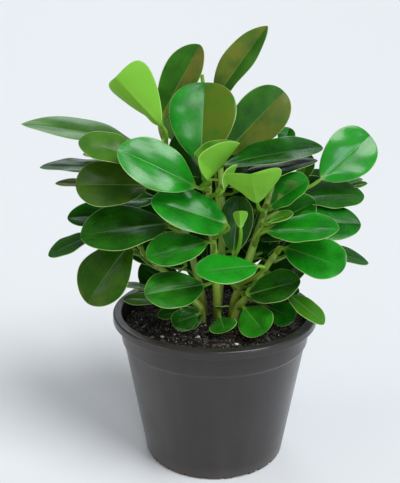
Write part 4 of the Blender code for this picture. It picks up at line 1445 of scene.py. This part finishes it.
SPRIGS = (
    # Young leaves at the shoot tips and slivers seen between others
    Sprig("sprig_tip_left_two", (-34, 6, 253), 5, 22, 12, 7, (-0.2, -0.9, 0.4), Slot.YOUNG, DIM, 0, 24),
    Sprig("sprig_under_inner", (-22, -20, 154), 186, 0, 22, 9, (0, -0.3, 1), Slot.YOUNG, DIM),
    Sprig("sprig_left_tan", (-84, 24, 199), 181, 2, 34, 12, (0, -0.3, 1), Slot.OLIVE,
          Habit(tone=0.3, warmth=0.9)),
    Sprig("sprig_left_thin", (-66, 28, 216), 178, 9, 32, 12, (0, -0.25, 1), Slot.DARK, SOFT),
    Sprig("sprig_top_curled", (48, 24, 228), 40, 62, 15, 14, UPRIGHT, Slot.MATURE, SOFT, 20, 24),
    Sprig("sprig_right_thin", (96, 20, 199), 4, 12, 15, 7, FLAT, Slot.OLIVE, SOFT),
    Sprig("sprig_right_small", (36, -27, 186), -2, 22, 18, 9, (0, -0.6, 0.8), Slot.YOUNG,
          Habit(tone=-0.7), 4, 20),
    Sprig("sprig_low_dark", (19, -10, 128), 2, 2, 42, 24, FLAT, Slot.DARK, DIM),
    Sprig("sprig_low_round", (-9, -13, 113), 196, -16, 17, 18, (0, -0.8, 0.6), Slot.MATURE, DIM),
    Sprig("sprig_low_small", (6, -12, 116), 262, 30, 13, 11, (0, 0.6, 0.8), Slot.DARK, DIM, 0, 10),
    Sprig("sprig_low_left", (-22, -9, 112), 190, -4, 20, 12, FLAT, Slot.MATURE, DIM),
    # Older leaves in the shade inside the plant
    Sprig("shade_middle_left", (-16, 16, 172), 170, 22, 46, 34, UPRIGHT, Slot.DARK, DIM),
    Sprig("shade_crown", (14, 16, 196), 60, 40, 46, 34, UPRIGHT, Slot.DARK, DIM),
    Sprig("shade_centre", (14, 16, 152), 70, 60, 50, 36, UPRIGHT, Slot.DARK, DIM),
    Sprig("shade_centre_right", (28, 18, 160), 15, 34, 48, 34, UPRIGHT, Slot.DARK, DIM),
    Sprig("shade_centre_left", (-14, 14, 140), 165, 34, 48, 34, UPRIGHT, Slot.DARK, DIM),
    Sprig("shade_low_middle", (0, 18, 118), 120, 50, 44, 32, UPRIGHT, Slot.DARK, DIM),
    Sprig("shade_high_middle", (-6, 18, 206), 150, 50, 40, 30, UPRIGHT, Slot.DARK, DIM),
    Sprig("shade_right", (50, 22, 176), 20, 30, 44, 32, UPRIGHT, Slot.DARK, DIM),
    Sprig("shade_low_right", (26, 16, 122), 20, 24, 44, 30, UPRIGHT, Slot.DARK, DIM),
    Sprig("shade_left", (-34, 20, 166), 175, 14, 44, 32, UPRIGHT, Slot.DARK, DIM),
    Sprig("shade_inner_right", (40, 4, 176), -10, 30, 36, 26, UPRIGHT, Slot.MATURE, DIM),
    Sprig("shade_inner_low", (30, 2, 130), 10, 20, 40, 28, FLAT, Slot.DARK, DIM),
    Sprig("shade_back_right", (60, 34, 192), 30, 10, 42, 28, FLAT, Slot.DARK, DIM),
    Sprig("shade_neck", (4, 22, 186), 110, 58, 44, 38, UPRIGHT, Slot.DARK, DIM),
    Sprig("shade_neck_right", (30, 26, 178), 60, 52, 46, 36, UPRIGHT, Slot.DARK, DIM),
    Sprig("shade_neck_left", (-22, 24, 182), 130, 48, 44, 36, UPRIGHT, Slot.DARK, DIM),
    Sprig("shade_waist", (-4, 26, 156), 95, 60, 44, 38, UPRIGHT, Slot.DARK, DIM),
    Sprig("shade_waist_left", (-34, 22, 138), 150, 34, 44, 34, UPRIGHT, Slot.DARK, DIM),
    Sprig("shade_waist_right", (44, 24, 142), 40, 40, 46, 34, UPRIGHT, Slot.DARK, DIM),
    Sprig("shade_foot_left", (-24, 20, 116), 160, 26, 40, 28, UPRIGHT, Slot.DARK, DIM),
    Sprig("shade_gap_left", (-6, 24, 140), 90, 70, 46, 34, UPRIGHT, Slot.DARK, DIM),
    Sprig("shade_gap_right", (28, 24, 138), 60, 60, 46, 34, UPRIGHT, Slot.DARK, DIM),
    Sprig("shade_gap_low", (12, 26, 122), 90, 62, 40, 34, UPRIGHT, Slot.DARK, DIM),
)


@dataclass
class Plant:
    """Stems and leaves, each made round its CAD node."""

    nodes: dict[str, bpy.types.Object]
    reach_of_joint: float = 7.0 * MM

    def slot_of(self, node: bpy.types.Object) -> Slot:
        """The record's slot that a CAD node is made of."""
        return Slot(node.data.materials[0].name.split(".")[0])

    def build(self) -> list[bpy.types.Object]:
        """Makes every stem and leaf."""
        skins = {skin.slot: skin.make() for skin in LEAF_SKINS}
        stems = [Stem.from_node(n) for name, n in sorted(self.nodes.items()) if name.startswith("stem_")]
        pieces = []
        for seed, (name, node) in enumerate(sorted(self.nodes.items())):
            if not name.startswith("leaf_"):
                continue
            slot = self.slot_of(node)
            leaf = Leaf.from_node(node, self.habit(name, seed), seed)
            foot = leaf.rings[0].mean(axis=0)
            nearest = min(stems, key=lambda stem: stem.nearest(foot)[0])
            off, along = nearest.nearest(foot)
            if off < self.reach_of_joint:
                nearest.joints.append(along)
            pieces.append(leaf.build(skins[slot], slot, name))
        for seed, sprig in enumerate(SPRIGS, 500):
            pieces.append(Leaf.grown(sprig, stems, seed).build(skins[sprig.slot], sprig.slot))
        bark = StemSkin().make()
        pieces += [stem.build(bark) for stem in stems]
        return pieces

    @staticmethod
    def habit(name: str, seed: int) -> Habit:
        """The leaf's own habit, with small random departures of its line."""
        rng = np.random.default_rng(1000 + seed)
        plain = Habit(tone=float(rng.uniform(-0.3, 0.2)), warmth=float(rng.uniform(0, 0.2)),
                      shine=float(rng.uniform(0, 0.5)))
        return replace(HABITS.get(name, plain), twist=float(rng.uniform(-7, 7)),
                       curl=float(rng.uniform(-0.02, 0.05)))


# ---- Studio -----------------------------------------------------------------------------------

@dataclass(frozen=True)
class Lamp:
    """A soft light from far off, as wide as an angle of the sky."""

    name: str
    comes_from: Place
    width: float
    power: float
    tint: Colour

    def build(self) -> None:
        """Adds the light, shining from its side of the sky."""
        data = bpy.data.lights.new(self.name, "SUN")
        data.angle = math.radians(self.width)
        data.energy = self.power
        data.color = self.tint
        lamp = bpy.data.objects.new(self.name, data)
        lamp.rotation_euler = (-Vector(self.comes_from)).to_track_quat("-Z", "Y").to_euler()
        bpy.context.scene.collection.objects.link(lamp)


LAMPS = (
    Lamp("sky_panel", (0.46, -0.36, 0.81), 34.0, 2.05, (0.95, 0.98, 1.0)),
    Lamp("front_panel", (0.12, -0.72, 0.69), 12.0, 0.28, (0.88, 0.95, 1.0)),
    Lamp("side_glow", (-0.90, -0.05, 0.42), 16.0, 0.16, (0.90, 0.96, 1.0)),
    Lamp("wall_bounce", (-0.10, 0.78, 0.62), 26.0, 0.42, (0.86, 0.94, 1.0)),
    Lamp("cool_fill", (0.74, -0.66, 0.14), 20.0, 0.55, (0.70, 0.82, 1.0)),
    Lamp("warm_fill", (-0.88, -0.45, 0.10), 30.0, 0.62, (1.0, 0.58, 0.24)),
)


@dataclass
class Studio:
    """Plain pale floor, soft light and the camera."""

    camera_place: Place = (0.0, -0.536, 0.335)
    camera_drop: float = 17.74
    camera_turn: float = 1.16
    focal: float = 38.8
    sensor: float = 24.0
    floor_size: float = 160.0
    floor_tint: Colour = (0.86, 0.865, 0.87)
    sky_tint: Colour = (0.86, 0.92, 1.0)
    sky_strength: float = 0.34

    def build(self) -> None:
        """Adds the floor, the lights, the surroundings and the camera."""
        half = self.floor_size / 2
        corners = [(-half, -half, 0), (half, -half, 0), (half, half, 0), (-half, half, 0)]
        mesh = bpy.data.meshes.new("floor")
        mesh.from_pydata(corners, [], [(0, 1, 2, 3)])
        floor = bpy.data.objects.new("floor", mesh)
        floor.location.z = -0.0002
        bpy.context.scene.collection.objects.link(floor)
        paint = Finish("floor_paint", Roughness=0.75, Specular_IOR_Level=0.25)
        paint.set(Base_Color=self.floor_tint)
        mesh.materials.append(paint.material)
        for lamp in LAMPS:
            lamp.build()
        world = bpy.data.worlds.new("soft_sky")
        bpy.context.scene.world = world
        world.use_nodes = True
        background = world.node_tree.nodes["Background"]
        background.inputs[0].default_value = (*self.sky_tint, 1.0)
        background.inputs[1].default_value = self.sky_strength
        data = bpy.data.cameras.new("camera")
        data.sensor_fit = "VERTICAL"
        data.sensor_height = self.sensor
        data.lens = self.focal
        data.clip_start = 0.01
        data.clip_end = 400.0
        camera = bpy.data.objects.new("camera", data)
        camera.location = self.camera_place
        camera.rotation_euler = (math.radians(90 - self.camera_drop), 0, math.radians(self.camera_turn))
        bpy.context.scene.collection.objects.link(camera)
        bpy.context.scene.camera = camera
        bpy.context.scene.view_settings.view_transform = "Standard"


# ---- Assembly ---------------------------------------------------------------------------------

def main() -> None:
    """Builds every piece round the frame and logs the number of faces of each."""
    logging.basicConfig(level=logging.INFO, format="%(name)s: %(message)s")
    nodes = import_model()["nodes"]
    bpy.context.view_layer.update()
    pieces = [Pot("pot").build(PotPlastic().make())]
    pieces += PottingMix(nodes["potting_mix"]).build()
    pieces += Plant(nodes).build()
    Studio().build()
    for piece in pieces:
        LOG.info("%s: %d faces", piece.name, len(piece.data.polygons))


if __name__ == "__main__":
    main()
